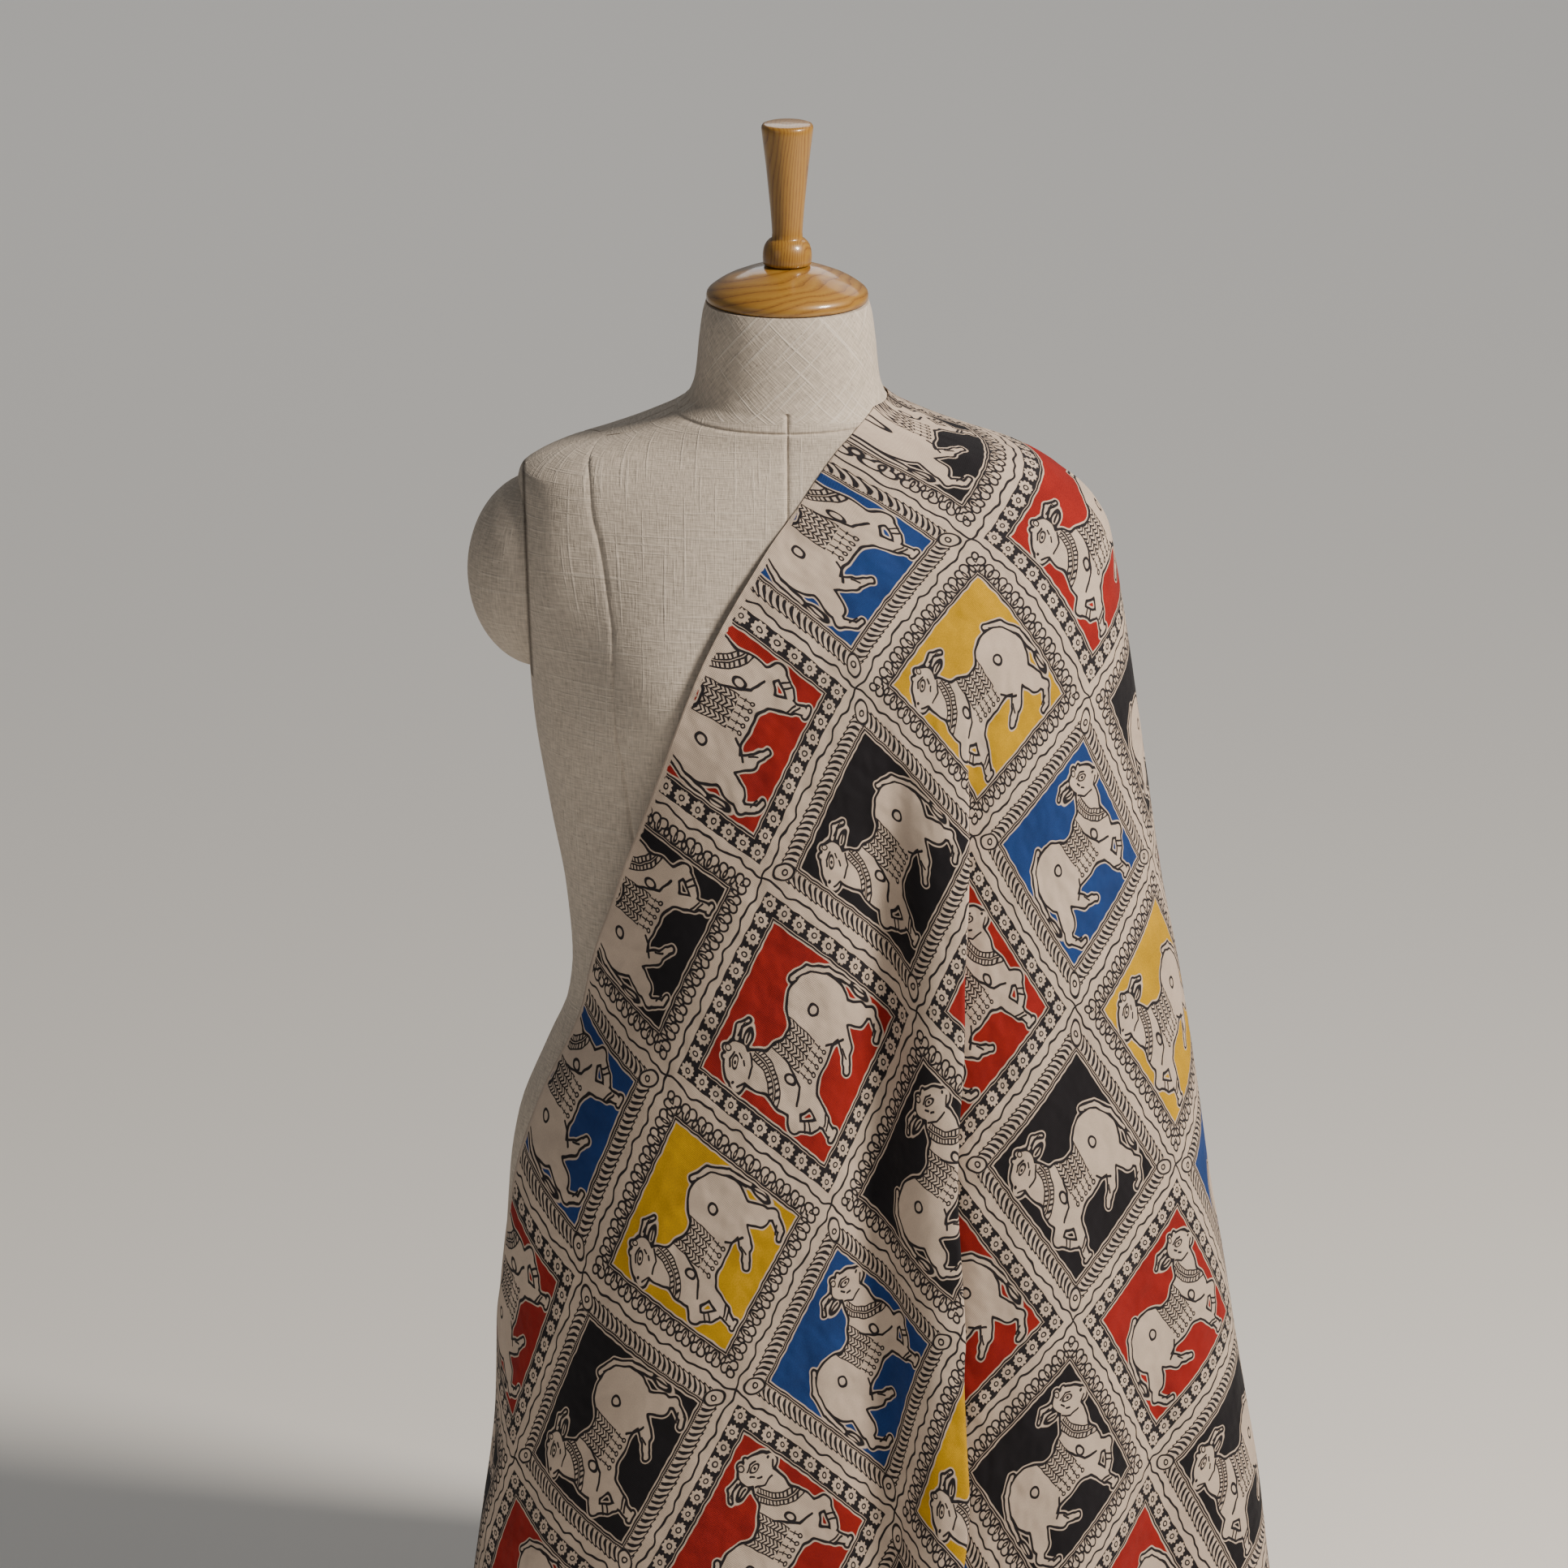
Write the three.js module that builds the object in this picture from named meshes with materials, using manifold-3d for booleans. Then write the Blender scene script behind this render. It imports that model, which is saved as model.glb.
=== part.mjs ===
// A length of block printed cotton cloth hanging from one shoulder of a linen covered dress form.
// Millimetres, +Z up, -Y to the front, +X to the side with the cloth. The origin is on the surface
// that the form stands on, at the middle of its flat base.
import * as THREE from 'three';
import Module from 'manifold-3d';
import { mergeVertices } from 'three/addons/utils/BufferGeometryUtils.js';

// Driving dimensions
const NECK_TOP = 865.7;
const SEAT_GAP = 0.3;
const CAP_BOTTOM = NECK_TOP + SEAT_GAP;
const CAP_RADIUS = 49.75;
const CAP_RISE = 22.5;
const FINIAL_BOTTOM = CAP_BOTTOM + CAP_RISE + SEAT_GAP;
const FINIAL_HEIGHT = 88;
const FINIAL_TOP_RADIUS = 16;
const BULB_RADIUS = 15;
const FORM_SIDES = 64;
const FORM_SQUARENESS = 2.2;
const BUST = { height: 640, turn: 37, swell: 13, tall: 52, wide: 21 };
const ARM = { across: 150, height: 697, reach: 46.5, deep: 46, tall: 61 };
const CLOTH_THICKNESS = 2;
const CLOTH_TOP = 807;
const CLOTH_HEM = 12;
const SHOULDER_SEAT = 0.8;
const BODY_CLEARANCE = 2.4;
const BLEND = 8;

// The form's horizontal sections: half of its width, and how far it comes to the front and the back.
const FORM_SECTIONS = [
  { z: 0, half: 169, front: 104, back: 112 },
  { z: 60, half: 172, front: 107, back: 116 },
  { z: 190, half: 174.5, front: 110, back: 124 },
  { z: 250, half: 174.5, front: 110, back: 124 },
  { z: 315, half: 171.5, front: 107, back: 113 },
  { z: 351, half: 166, front: 104, back: 104 },
  { z: 398, half: 147.6, front: 97, back: 92 },
  { z: 428, half: 135, front: 92, back: 86 },
  { z: 452, half: 132.5, front: 90, back: 84 },
  { z: 495, half: 136, front: 93, back: 85 },
  { z: 548, half: 145.7, front: 101, back: 91 },
  { z: 613, half: 156, front: 108, back: 98 },
  { z: 650, half: 158.5, front: 105, back: 101 },
  { z: 700, half: 161, front: 94, back: 101 },
  { z: 740, half: 164, front: 80, back: 93 },
  { z: 752, half: 165, front: 75, back: 88 },
  { z: 760, half: 163.5, front: 71, back: 83 },
  { z: 766, half: 156, front: 68, back: 79 },
  { z: 773, half: 141, front: 65, back: 75 },
  { z: 780, half: 119, front: 62, back: 71 },
  { z: 786, half: 101.5, front: 60, back: 67 },
  { z: 792, half: 86.5, front: 59, back: 63 },
  { z: 799, half: 71, front: 57, back: 59 },
  { z: 803, half: 65, front: 56, back: 57.3 },
  { z: 807, half: 60.5, front: 55, back: 56 },
  { z: 819, half: 56.5, front: 53.5, back: 54 },
  { z: 843, half: 54, front: 52.5, back: 52.5 },
  { z: 858, half: 52, front: 51.5, back: 51.5 },
  { z: NECK_TOP, half: 50, front: 49.5, back: 49.5 },
];

// How far the hanging cloth reaches at each height: to the right, the left, the front and the back.
const CLOTH_REACH = [
  { z: 12, right: 301, left: 196, front: 150, back: 150 },
  { z: 61, right: 295.5, left: 192, front: 148, back: 149 },
  { z: 97, right: 292, left: 189, front: 147, back: 148 },
  { z: 130, right: 288.5, left: 184.5, front: 146, back: 147 },
  { z: 171, right: 282, left: 180, front: 144, back: 146 },
  { z: 214, right: 275.5, left: 178.8, front: 142, back: 144 },
  { z: 260, right: 269, left: 178.5, front: 140, back: 141 },
  { z: 313, right: 260.5, left: 175.5, front: 138, back: 137 },
  { z: 375, right: 252.5, left: 161, front: 135, back: 132 },
  { z: 444, right: 242, left: 137, front: 131, back: 125 },
  { z: 501, right: 231, left: 139, front: 128, back: 120 },
  { z: 574, right: 220.5, left: 153, front: 126, back: 115 },
  { z: 653, right: 209.5, left: 160, front: 118, back: 112 },
  { z: 700, right: 202, left: 160, front: 102, back: 108 },
  { z: 724, right: 197.5, left: 160, front: 90, back: 100 },
  { z: 738, right: 190.5, left: 160, front: 80, back: 92 },
  { z: 750, right: 180.5, left: 150, front: 70, back: 82 },
  { z: 760, right: 166, left: 140, front: 60, back: 70 },
  { z: 775, right: 120, left: 100, front: 50, back: 60 },
  { z: CLOTH_TOP, right: 50, left: 50, front: 40, back: 40 },
];

// Where the cloth's two long edges and its tuck lie at each height. Edges are turns about the form in
// degrees, 0 at its front, 90 at the side with the cloth and 180 at its back. The tuck's lip is a
// share of the way from the front edge to the side.
const CLOTH_EDGES = [
  { z: 12, front: -111, lip: 0.66, back: 204 },
  { z: 61, front: -107, lip: 0.66, back: 203 },
  { z: 120, front: -101, lip: 0.66, back: 201 },
  { z: 180, front: -94, lip: 0.65, back: 199 },
  { z: 219, front: -88, lip: 0.64, back: 198 },
  { z: 250, front: -81, lip: 0.63, back: 197 },
  { z: 299, front: -77, lip: 0.62, back: 195 },
  { z: 349, front: -74, lip: 0.61, back: 193 },
  { z: 399, front: -69, lip: 0.6, back: 191 },
  { z: 454, front: -62, lip: 0.59, back: 189 },
  { z: 512, front: -50, lip: 0.57, back: 186 },
  { z: 569, front: -39, lip: 0.55, back: 183 },
  { z: 621, front: -31, lip: 0.53, back: 179 },
  { z: 682, front: -21.5, lip: 0.5, back: 175 },
  { z: 728, front: -8.5, lip: 0.48, back: 171 },
  { z: 761, front: 9.5, lip: 0.46, back: 164 },
  { z: 779, front: 22, lip: 0.44, back: 155 },
  { z: 795, front: 37, lip: 0.42, back: 143 },
  { z: 803, front: 50, lip: 0.4, back: 130 },
  { z: CLOTH_TOP, front: 60, lip: 0.4, back: 120 },
];

// The tuck's section. Its points run along the cloth from the lip by ease, in tuck widths, less a
// share of the hidden depth, and stand out by a share of the tuck's height.
const TUCK_WIDTH = 20;
const TUCK = { top: 640, full: 480, height: 19, hiddenAtHem: 66 };
const TUCK_SECTION = [
  { ease: -2.4, hidden: 1.3, out: 0 },
  { ease: -1.8, hidden: 1.15, out: 0.4 },
  { ease: -1.2, hidden: 0.9, out: 0.6 },
  { ease: -0.7, hidden: 0.6, out: 0.62 },
  { ease: -0.3, hidden: 0.25, out: 0.86 },
  { ease: 0, hidden: 0, out: 1 },
  { ease: 0.16, hidden: 0, out: 0.88 },
  { ease: 0.22, hidden: 0.08, out: 0.68 },
  { ease: 0.3, hidden: 0.4, out: 0.4 },
  { ease: 0.42, hidden: 0.8, out: 0.36 },
  { ease: 0.5, hidden: 1, out: 0.24 },
  { ease: 0.62, hidden: 0.92, out: 0.1 },
  { ease: 0.8, hidden: 0.5, out: 0.03 },
  { ease: 1.1, hidden: 0.1, out: 0 },
  { ease: 1.7, hidden: 0, out: 0 },
];

// Soft folds: the turn where each lies at the hem and at its top, its width in degrees, how far it
// stands out at the hem, and the height where it starts.
const SOFT_FOLDS = [
  { name: 'hip fall', hemTurn: -40, topTurn: -20, width: 17, out: 5, top: 420 },
  { name: 'front hollow', hemTurn: 4, topTurn: 8, width: 13, out: -6, top: 500 },
  { name: 'beside the tuck', hemTurn: 55, topTurn: 52, width: 7, out: 7, top: 560 },
  { name: 'outer hollow', hemTurn: 68, topTurn: 69, width: 5, out: -13, top: 330 },
  { name: 'side fall', hemTurn: 83, topTurn: 84, width: 7, out: 5, top: 420 },
  { name: 'back side hollow', hemTurn: 113, topTurn: 112, width: 8, out: -16, top: 560 },
  { name: 'back side fall', hemTurn: 129, topTurn: 127, width: 8, out: 11, top: 560 },
  { name: 'back hollow', hemTurn: 147, topTurn: 146, width: 8, out: -12, top: 500 },
  { name: 'back fall', hemTurn: 166, topTurn: 163, width: 9, out: 10, top: 540 },
  { name: 'back edge hollow', hemTurn: 187, topTurn: 180, width: 8, out: -8, top: 420 },
];

const CLOTH_ROWS = [CLOTH_TOP, 803, 799, 792, 786, 780, 773, 766, 760, 752, 740, 725];
const CLOTH_ROW_STEP = 32;
const COLUMNS = { beforeTuck: 13, afterTuck: 10, back: 17 };
const ARC_STEPS = 240;

function radians(degrees) {
  return THREE.MathUtils.degToRad(degrees);
}

// A smooth curve through one column of a table that is sorted by z, with no overshoot between rows.
function column(table, key) {
  const rows = [...table].sort((a, b) => a.z - b.z);
  const slope = [];
  for (let i = 0; i + 1 < rows.length; i += 1) {
    slope.push((rows[i + 1][key] - rows[i][key]) / (rows[i + 1].z - rows[i].z));
  }
  const lean = rows.map((row, i) => {
    if (i === 0) return slope[0];
    if (i === rows.length - 1) return slope[i - 1];
    if (slope[i - 1] * slope[i] <= 0) return 0;
    return (2 * slope[i - 1] * slope[i]) / (slope[i - 1] + slope[i]);
  });
  return (z) => {
    const top = rows.length - 1;
    if (z <= rows[0].z) return rows[0][key];
    if (z >= rows[top].z) return rows[top][key];
    const i = rows.findIndex((row) => row.z > z) - 1;
    const span = rows[i + 1].z - rows[i].z;
    const t = (z - rows[i].z) / span;
    const rise = t * t * (3 - 2 * t);
    const away = t * (1 - t) * (1 - t) * span * lean[i];
    const home = t * t * (t - 1) * span * lean[i + 1];
    return rows[i][key] * (1 - rise) + rows[i + 1][key] * rise + away + home;
  };
}

const formHalf = column(FORM_SECTIONS, 'half');
const formFront = column(FORM_SECTIONS, 'front');
const formBack = column(FORM_SECTIONS, 'back');
const reachRight = column(CLOTH_REACH, 'right');
const reachLeft = column(CLOTH_REACH, 'left');
const reachFront = column(CLOTH_REACH, 'front');
const reachBack = column(CLOTH_REACH, 'back');
const edgeFront = column(CLOTH_EDGES, 'front');
const edgeBack = column(CLOTH_EDGES, 'back');
const tuckLip = column(CLOTH_EDGES, 'lip');

// How far an oval with the given half width and depth reaches in the direction of a turn.
function ovalReach(turn, half, depth) {
  const across = Math.abs(Math.sin(turn)) / half;
  const deep = Math.abs(Math.cos(turn)) / depth;
  return (across ** FORM_SQUARENESS + deep ** FORM_SQUARENESS) ** (-1 / FORM_SQUARENESS);
}

function bell(value) {
  return Math.exp(-value * value);
}

function formReach(z, turn) {
  const depth = Math.cos(turn) > 0 ? formFront(z) : formBack(z);
  const side = Math.abs(Math.atan2(Math.sin(turn), Math.cos(turn))) - radians(BUST.turn);
  const swell = BUST.swell * bell((z - BUST.height) / BUST.tall) * bell(side / radians(BUST.wide));
  return ovalReach(turn, formHalf(z), depth) + swell;
}

function softerMax(a, b) {
  const near = Math.max(0, 1 - Math.abs(a - b) / BLEND);
  return Math.max(a, b) + (near * near * BLEND) / 4;
}

function softStart(z, top, full) {
  return THREE.MathUtils.smoothstep(top - z, 0, top - full);
}

// The middle of the cloth's thickness before its folds, as a distance from the form's axis. On the
// flat slope of the shoulder a level step away from the form is longer than the gap that it leaves.
function clothReach(z, turn) {
  const half = Math.sin(turn) > 0 ? reachRight(z) : reachLeft(z);
  const depth = Math.cos(turn) > 0 ? reachFront(z) : reachBack(z);
  const clear = SHOULDER_SEAT + (BODY_CLEARANCE - SHOULDER_SEAT) * softStart(z, 770, 700);
  const slope = (formReach(z - 1, turn) - formReach(z + 1, turn)) / 2;
  const lift = (clear + CLOTH_THICKNESS / 2) * Math.hypot(1, slope);
  return softerMax(formReach(z, turn) + lift, ovalReach(turn, half, depth));
}

function softFolds(z, turn) {
  let out = 0;
  for (const fold of SOFT_FOLDS) {
    const grown = THREE.MathUtils.clamp((fold.top - z) / (fold.top - CLOTH_HEM), 0, 1);
    const middle = fold.topTurn + (fold.hemTurn - fold.topTurn) * grown;
    const away = (THREE.MathUtils.radToDeg(turn) - middle) / fold.width;
    out += fold.out * grown ** 1.2 * bell(away);
  }
  return out;
}

// One level line of the cloth, from its front edge round the side to its back edge.
function clothLine(z) {
  const from = radians(edgeFront(z));
  const to = radians(edgeBack(z));
  const arc = [];
  for (let i = 0; i <= ARC_STEPS; i += 1) {
    const turn = from + ((to - from) * i) / ARC_STEPS;
    const reach = clothReach(z, turn);
    const place = new THREE.Vector2(reach * Math.sin(turn), -reach * Math.cos(turn));
    const along = i === 0 ? 0 : arc[i - 1].along + place.distanceTo(arc[i - 1].place);
    arc.push({ turn, place, along });
  }
  const at = (along) => {
    const index = arc.findIndex((step) => step.along > along);
    const i = index === -1 ? ARC_STEPS : Math.max(1, index);
    const share = (along - arc[i - 1].along) / (arc[i].along - arc[i - 1].along);
    const place = arc[i - 1].place.clone().lerp(arc[i].place, share);
    const way = arc[i].place.clone().sub(arc[i - 1].place).normalize();
    const turn = arc[i - 1].turn + (arc[i].turn - arc[i - 1].turn) * share;
    return { place, turn, outward: new THREE.Vector2(way.y, -way.x) };
  };
  const end = arc[ARC_STEPS].along;
  const side = arc.find((step) => step.turn >= Math.PI / 2).along;
  const lip = side * tuckLip(z);
  const width = Math.min(TUCK_WIDTH, lip / 4);
  const hidden = TUCK.hiddenAtHem * Math.max(0, (TUCK.top - z) / (TUCK.top - CLOTH_HEM));
  const height = TUCK.height * softStart(z, TUCK.top, TUCK.full);
  const stops = TUCK_SECTION.map((point) => ({
    along: lip + point.ease * width - point.hidden * hidden,
    out: point.out * height,
  }));
  const first = stops[0].along;
  const last = stops[stops.length - 1].along;
  const line = [];
  for (let i = 0; i < COLUMNS.beforeTuck; i += 1) {
    line.push({ along: (first * i) / COLUMNS.beforeTuck, out: 0 });
  }
  line.push(...stops);
  for (let i = 1; i <= COLUMNS.afterTuck; i += 1) {
    line.push({ along: last + ((side - last) * i) / COLUMNS.afterTuck, out: 0 });
  }
  for (let i = 1; i <= COLUMNS.back; i += 1) {
    line.push({ along: side + ((end - side) * i) / COLUMNS.back, out: 0 });
  }
  return line.map((point) => {
    const { place, turn, outward } = at(point.along);
    const out = point.out + softFolds(z, turn);
    return new THREE.Vector3(place.x + outward.x * out, place.y + outward.y * out, z);
  });
}

// A closed solid from rings of points, with a flat face at each end.
function loft(rings) {
  const sides = rings[0].length;
  const positions = rings.flat().flatMap((point) => [point.x, point.y, point.z]);
  const faces = [];
  for (let k = 0; k + 1 < rings.length; k += 1) {
    for (let i = 0; i < sides; i += 1) {
      const next = (i + 1) % sides;
      const a = k * sides + i;
      const b = k * sides + next;
      faces.push(a, b, b + sides, a, b + sides, a + sides);
    }
  }
  const closeEnd = (ring, start, turnOver) => {
    const middle = positions.length / 3;
    const centre = ring.reduce((sum, point) => sum.add(point), new THREE.Vector3());
    positions.push(centre.x / sides, centre.y / sides, ring[0].z);
    for (let i = 0; i < sides; i += 1) {
      const pair = [start + i, start + ((i + 1) % sides)];
      if (turnOver) pair.reverse();
      faces.push(middle, ...pair);
    }
  };
  closeEnd(rings[0], 0, true);
  closeEnd(rings[rings.length - 1], (rings.length - 1) * sides, false);
  return solidGeometry(positions, faces);
}

function solidGeometry(positions, faces) {
  const geometry = new THREE.BufferGeometry();
  geometry.setAttribute('position', new THREE.Float32BufferAttribute(positions, 3));
  geometry.setIndex(faces);
  geometry.computeVertexNormals();
  return geometry;
}

function formGeometry(grow) {
  const rings = FORM_SECTIONS.map(({ z }) => {
    const ring = [];
    for (let i = 0; i < FORM_SIDES; i += 1) {
      const step = (i / FORM_SIDES) * Math.PI * 2;
      const depth = Math.cos(step) > 0 ? formFront(z) : formBack(z);
      const turn = Math.atan2(formHalf(z) * Math.sin(step), depth * Math.cos(step));
      const reach = formReach(z, turn) + grow;
      ring.push(new THREE.Vector3(reach * Math.sin(turn), -reach * Math.cos(turn), z));
    }
    return ring;
  });
  return loft(rings);
}

// The cloth's sheet: its level lines, given a thickness. Its top line is the short one where the
// long edge crosses the shoulder beside the neck.
function clothGeometry() {
  const heights = [...CLOTH_ROWS];
  const lowest = heights[heights.length - 1];
  const steps = Math.round((lowest - CLOTH_HEM) / CLOTH_ROW_STEP);
  for (let i = 1; i <= steps; i += 1) {
    heights.push(lowest + ((CLOTH_HEM - lowest) * i) / steps);
  }
  const lines = heights.map(clothLine);
  const across = lines[0].length;
  const outward = lines.map((line, k) => line.map((point, i) => {
    const above = lines[Math.max(0, k - 1)][i];
    const below = lines[Math.min(lines.length - 1, k + 1)][i];
    const before = line[Math.max(0, i - 1)];
    const after = line[Math.min(across - 1, i + 1)];
    const down = below.clone().sub(above);
    return after.clone().sub(before).cross(down).normalize().negate();
  }));
  const positions = [];
  for (const way of [1, -1]) {
    lines.forEach((line, k) => line.forEach((point, i) => {
      const moved = point.clone().addScaledVector(outward[k][i], (way * CLOTH_THICKNESS) / 2);
      positions.push(moved.x, moved.y, moved.z);
    }));
  }
  const inner = lines.length * across;
  const faces = [];
  const quad = (a, b, c, d) => faces.push(a, b, c, a, c, d);
  for (let k = 0; k + 1 < lines.length; k += 1) {
    for (let i = 0; i + 1 < across; i += 1) {
      const a = k * across + i;
      const c = a + across;
      quad(a, c, c + 1, a + 1);
      quad(inner + a, inner + a + 1, inner + c + 1, inner + c);
    }
    const left = k * across;
    const right = left + across - 1;
    quad(left, inner + left, inner + left + across, left + across);
    quad(right, right + across, inner + right + across, inner + right);
  }
  const hem = (lines.length - 1) * across;
  for (let i = 0; i + 1 < across; i += 1) {
    quad(i, i + 1, inner + i + 1, inner + i);
    quad(hem + i, inner + hem + i, inner + hem + i + 1, hem + i + 1);
  }
  return solidGeometry(positions, faces);
}

function lathe(profile, sides) {
  const points = profile.map(([radius, height]) => new THREE.Vector2(radius, height));
  return new THREE.LatheGeometry(points, sides).rotateX(Math.PI / 2);
}

function neckCapGeometry() {
  const top = CAP_BOTTOM + CAP_RISE;
  return lathe([
    [0, CAP_BOTTOM],
    [CAP_RADIUS - 1.5, CAP_BOTTOM],
    [CAP_RADIUS, CAP_BOTTOM + 1.5],
    [CAP_RADIUS, CAP_BOTTOM + 4],
    [CAP_RADIUS - 2, CAP_BOTTOM + 7.5],
    [CAP_RADIUS - 9, CAP_BOTTOM + 12.5],
    [CAP_RADIUS - 20, CAP_BOTTOM + 17.5],
    [CAP_RADIUS - 30, CAP_BOTTOM + 21],
    [BULB_RADIUS + 1, top],
    [0, top],
  ], 48);
}

function finialGeometry() {
  const top = FINIAL_BOTTOM + FINIAL_HEIGHT;
  return lathe([
    [0, FINIAL_BOTTOM],
    [BULB_RADIUS - 1.5, FINIAL_BOTTOM],
    [BULB_RADIUS, FINIAL_BOTTOM + 2.5],
    [BULB_RADIUS, FINIAL_BOTTOM + 7.5],
    [BULB_RADIUS - 1.2, FINIAL_BOTTOM + 11],
    [BULB_RADIUS - 4, FINIAL_BOTTOM + 14],
    [9.6, FINIAL_BOTTOM + 16.5],
    [9.4, FINIAL_BOTTOM + 20],
    [10.6, FINIAL_BOTTOM + 36],
    [13.2, FINIAL_BOTTOM + 62],
    [FINIAL_TOP_RADIUS, top - 3],
    [FINIAL_TOP_RADIUS - 1, top],
    [0, top],
  ], 32);
}

const wasm = await Module();
wasm.setup();

function toManifold(geometry) {
  const bare = geometry.clone();
  bare.deleteAttribute('normal');
  bare.deleteAttribute('uv');
  const merged = mergeVertices(bare, 1e-4);
  return new wasm.Manifold(new wasm.Mesh({
    numProp: 3,
    vertProperties: new Float32Array(merged.attributes.position.array),
    triVerts: new Uint32Array(merged.index.array),
  }));
}

// The rounded stump that closes an armhole, cut to lie against the form.
function armGeometry(side) {
  const ball = new THREE.SphereGeometry(1, 28, 18);
  ball.scale(ARM.reach, ARM.deep, ARM.tall);
  ball.translate(side * ARM.across, 0, ARM.height);
  const cut = toManifold(ball).subtract(toManifold(formGeometry(SEAT_GAP))).getMesh();
  return solidGeometry([...cut.vertProperties], [...cut.triVerts]);
}

function addPiece(group, name, geometry, colour, roughness) {
  const material = new THREE.MeshStandardMaterial({ color: colour, roughness, metalness: 0 });
  material.side = name === 'cloth' ? THREE.DoubleSide : THREE.FrontSide;
  const mesh = new THREE.Mesh(geometry, material);
  mesh.name = name;
  group.add(mesh);
}

const LINEN = 0xb8ada0;
const WOOD = 0xb8863c;
const COTTON = 0xcbb8a9;

const part = new THREE.Group();
addPiece(part, 'form_torso', formGeometry(0), LINEN, 0.9);
addPiece(part, 'arm_cap_right', armGeometry(1), LINEN, 0.9);
addPiece(part, 'arm_cap_left', armGeometry(-1), LINEN, 0.9);
addPiece(part, 'neck_cap', neckCapGeometry(), WOOD, 0.35);
addPiece(part, 'finial', finialGeometry(), WOOD, 0.35);
addPiece(part, 'cloth', clothGeometry(), COTTON, 0.95);

export default part;
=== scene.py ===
import math
from functools import partial

import bpy
import numpy as np
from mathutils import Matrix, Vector


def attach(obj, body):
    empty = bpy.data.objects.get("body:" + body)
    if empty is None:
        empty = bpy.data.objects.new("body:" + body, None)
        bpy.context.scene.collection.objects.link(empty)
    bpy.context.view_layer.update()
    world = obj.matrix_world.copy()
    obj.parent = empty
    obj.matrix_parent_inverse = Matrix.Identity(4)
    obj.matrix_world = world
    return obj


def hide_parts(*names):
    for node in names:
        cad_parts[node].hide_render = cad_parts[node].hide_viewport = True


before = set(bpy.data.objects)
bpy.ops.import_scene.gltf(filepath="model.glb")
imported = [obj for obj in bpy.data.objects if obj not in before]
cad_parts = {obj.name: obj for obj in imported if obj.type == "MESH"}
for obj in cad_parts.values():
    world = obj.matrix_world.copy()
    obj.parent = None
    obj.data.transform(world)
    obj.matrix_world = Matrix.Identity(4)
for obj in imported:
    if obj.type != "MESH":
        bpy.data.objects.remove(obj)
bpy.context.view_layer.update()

# Sizes are millimetres and turns are degrees, and MM turns millimetres into Blender's metres.
MM = 0.001

# Points closer than this become one, where the form's first and last columns meet.
MERGE = 0.02

# The camera stands where the photograph was taken from: it looks down a little, from far away.
CAMERA_PITCH = 14.5
CAMERA_DISTANCE = 12000
PICTURE_WIDTH = 966
AIM = (-2, 0, 560)
SENSOR = 36
PHOTO_SIZE = 1932

# The form's sections are ovals a little squarer than an ellipse, and its bust swells out of them.
FORM_SQUARENESS = 2.2
BUST = {"height": 640, "turn": 37, "swell": 13, "tall": 52, "wide": 21}

# An arm stump: its middle's place, and its half sizes across, from front to back and upright.
ARM = {"across": 150, "height": 697, "reach": 46.5, "deep": 46, "tall": 61}
NECK_TOP = 865.7

# The cloth: its ends, its thickness, its air over the shoulder and over the body, and how far about
# the place where it leaves the body it bends.
CLOTH_TOP = 807
CLOTH_HEM = 12
CLOTH_THICKNESS = 0.5
CLOTH_GAP = 1.3
BODY_CLEARANCE = 2.8
CLEARANCE_BEND = {"from": 770, "over": 70}
BLEND = 8

# The form's horizontal sections: height, half of the width, and the reach to the front and back.
FORM_SECTIONS = (
    (0, 169, 104, 112), (60, 172, 107, 116), (190, 174.5, 110, 124), (250, 174.5, 110, 124),
    (315, 171.5, 107, 113), (351, 166, 104, 104), (398, 147.6, 97, 92), (428, 135, 92, 86),
    (452, 132.5, 90, 84), (495, 136, 93, 85), (548, 145.7, 101, 91), (613, 156, 108, 98),
    (650, 158.5, 105, 101), (700, 161, 94, 101), (740, 164, 80, 93), (752, 165, 75, 88),
    (760, 163.5, 71, 83), (766, 156, 68, 79), (773, 141, 65, 75), (780, 119, 62, 71),
    (786, 101.5, 60, 67), (792, 86.5, 59, 63), (799, 71, 57, 59), (803, 65, 56, 57.3),
    (807, 60.5, 55, 56), (819, 56.5, 53.5, 54), (843, 54, 52.5, 52.5), (858, 52, 51.5, 51.5),
    (865.7, 50, 49.5, 49.5),
)

# The hanging cloth's reach at each height: right, left, front and back.
CLOTH_REACH = (
    (12, 301, 196, 150, 150), (61, 295.5, 192, 148, 149), (97, 292, 189, 147, 148),
    (130, 288.5, 184.5, 146, 147), (171, 282, 180, 144, 146), (214, 275.5, 178.8, 142, 144),
    (260, 269, 178.5, 140, 141), (313, 260.5, 175.5, 138, 137), (375, 252.5, 161, 135, 132),
    (444, 242, 137, 131, 125), (501, 231, 139, 128, 120), (574, 220.5, 153, 126, 115),
    (653, 209.5, 160, 118, 112), (700, 202, 160, 102, 108), (724, 197.5, 160, 90, 100),
    (738, 190.5, 160, 80, 92), (750, 180.5, 150, 70, 82), (760, 166, 140, 60, 70),
    (775, 120, 100, 50, 60), (807, 50, 50, 40, 40),
)

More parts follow.
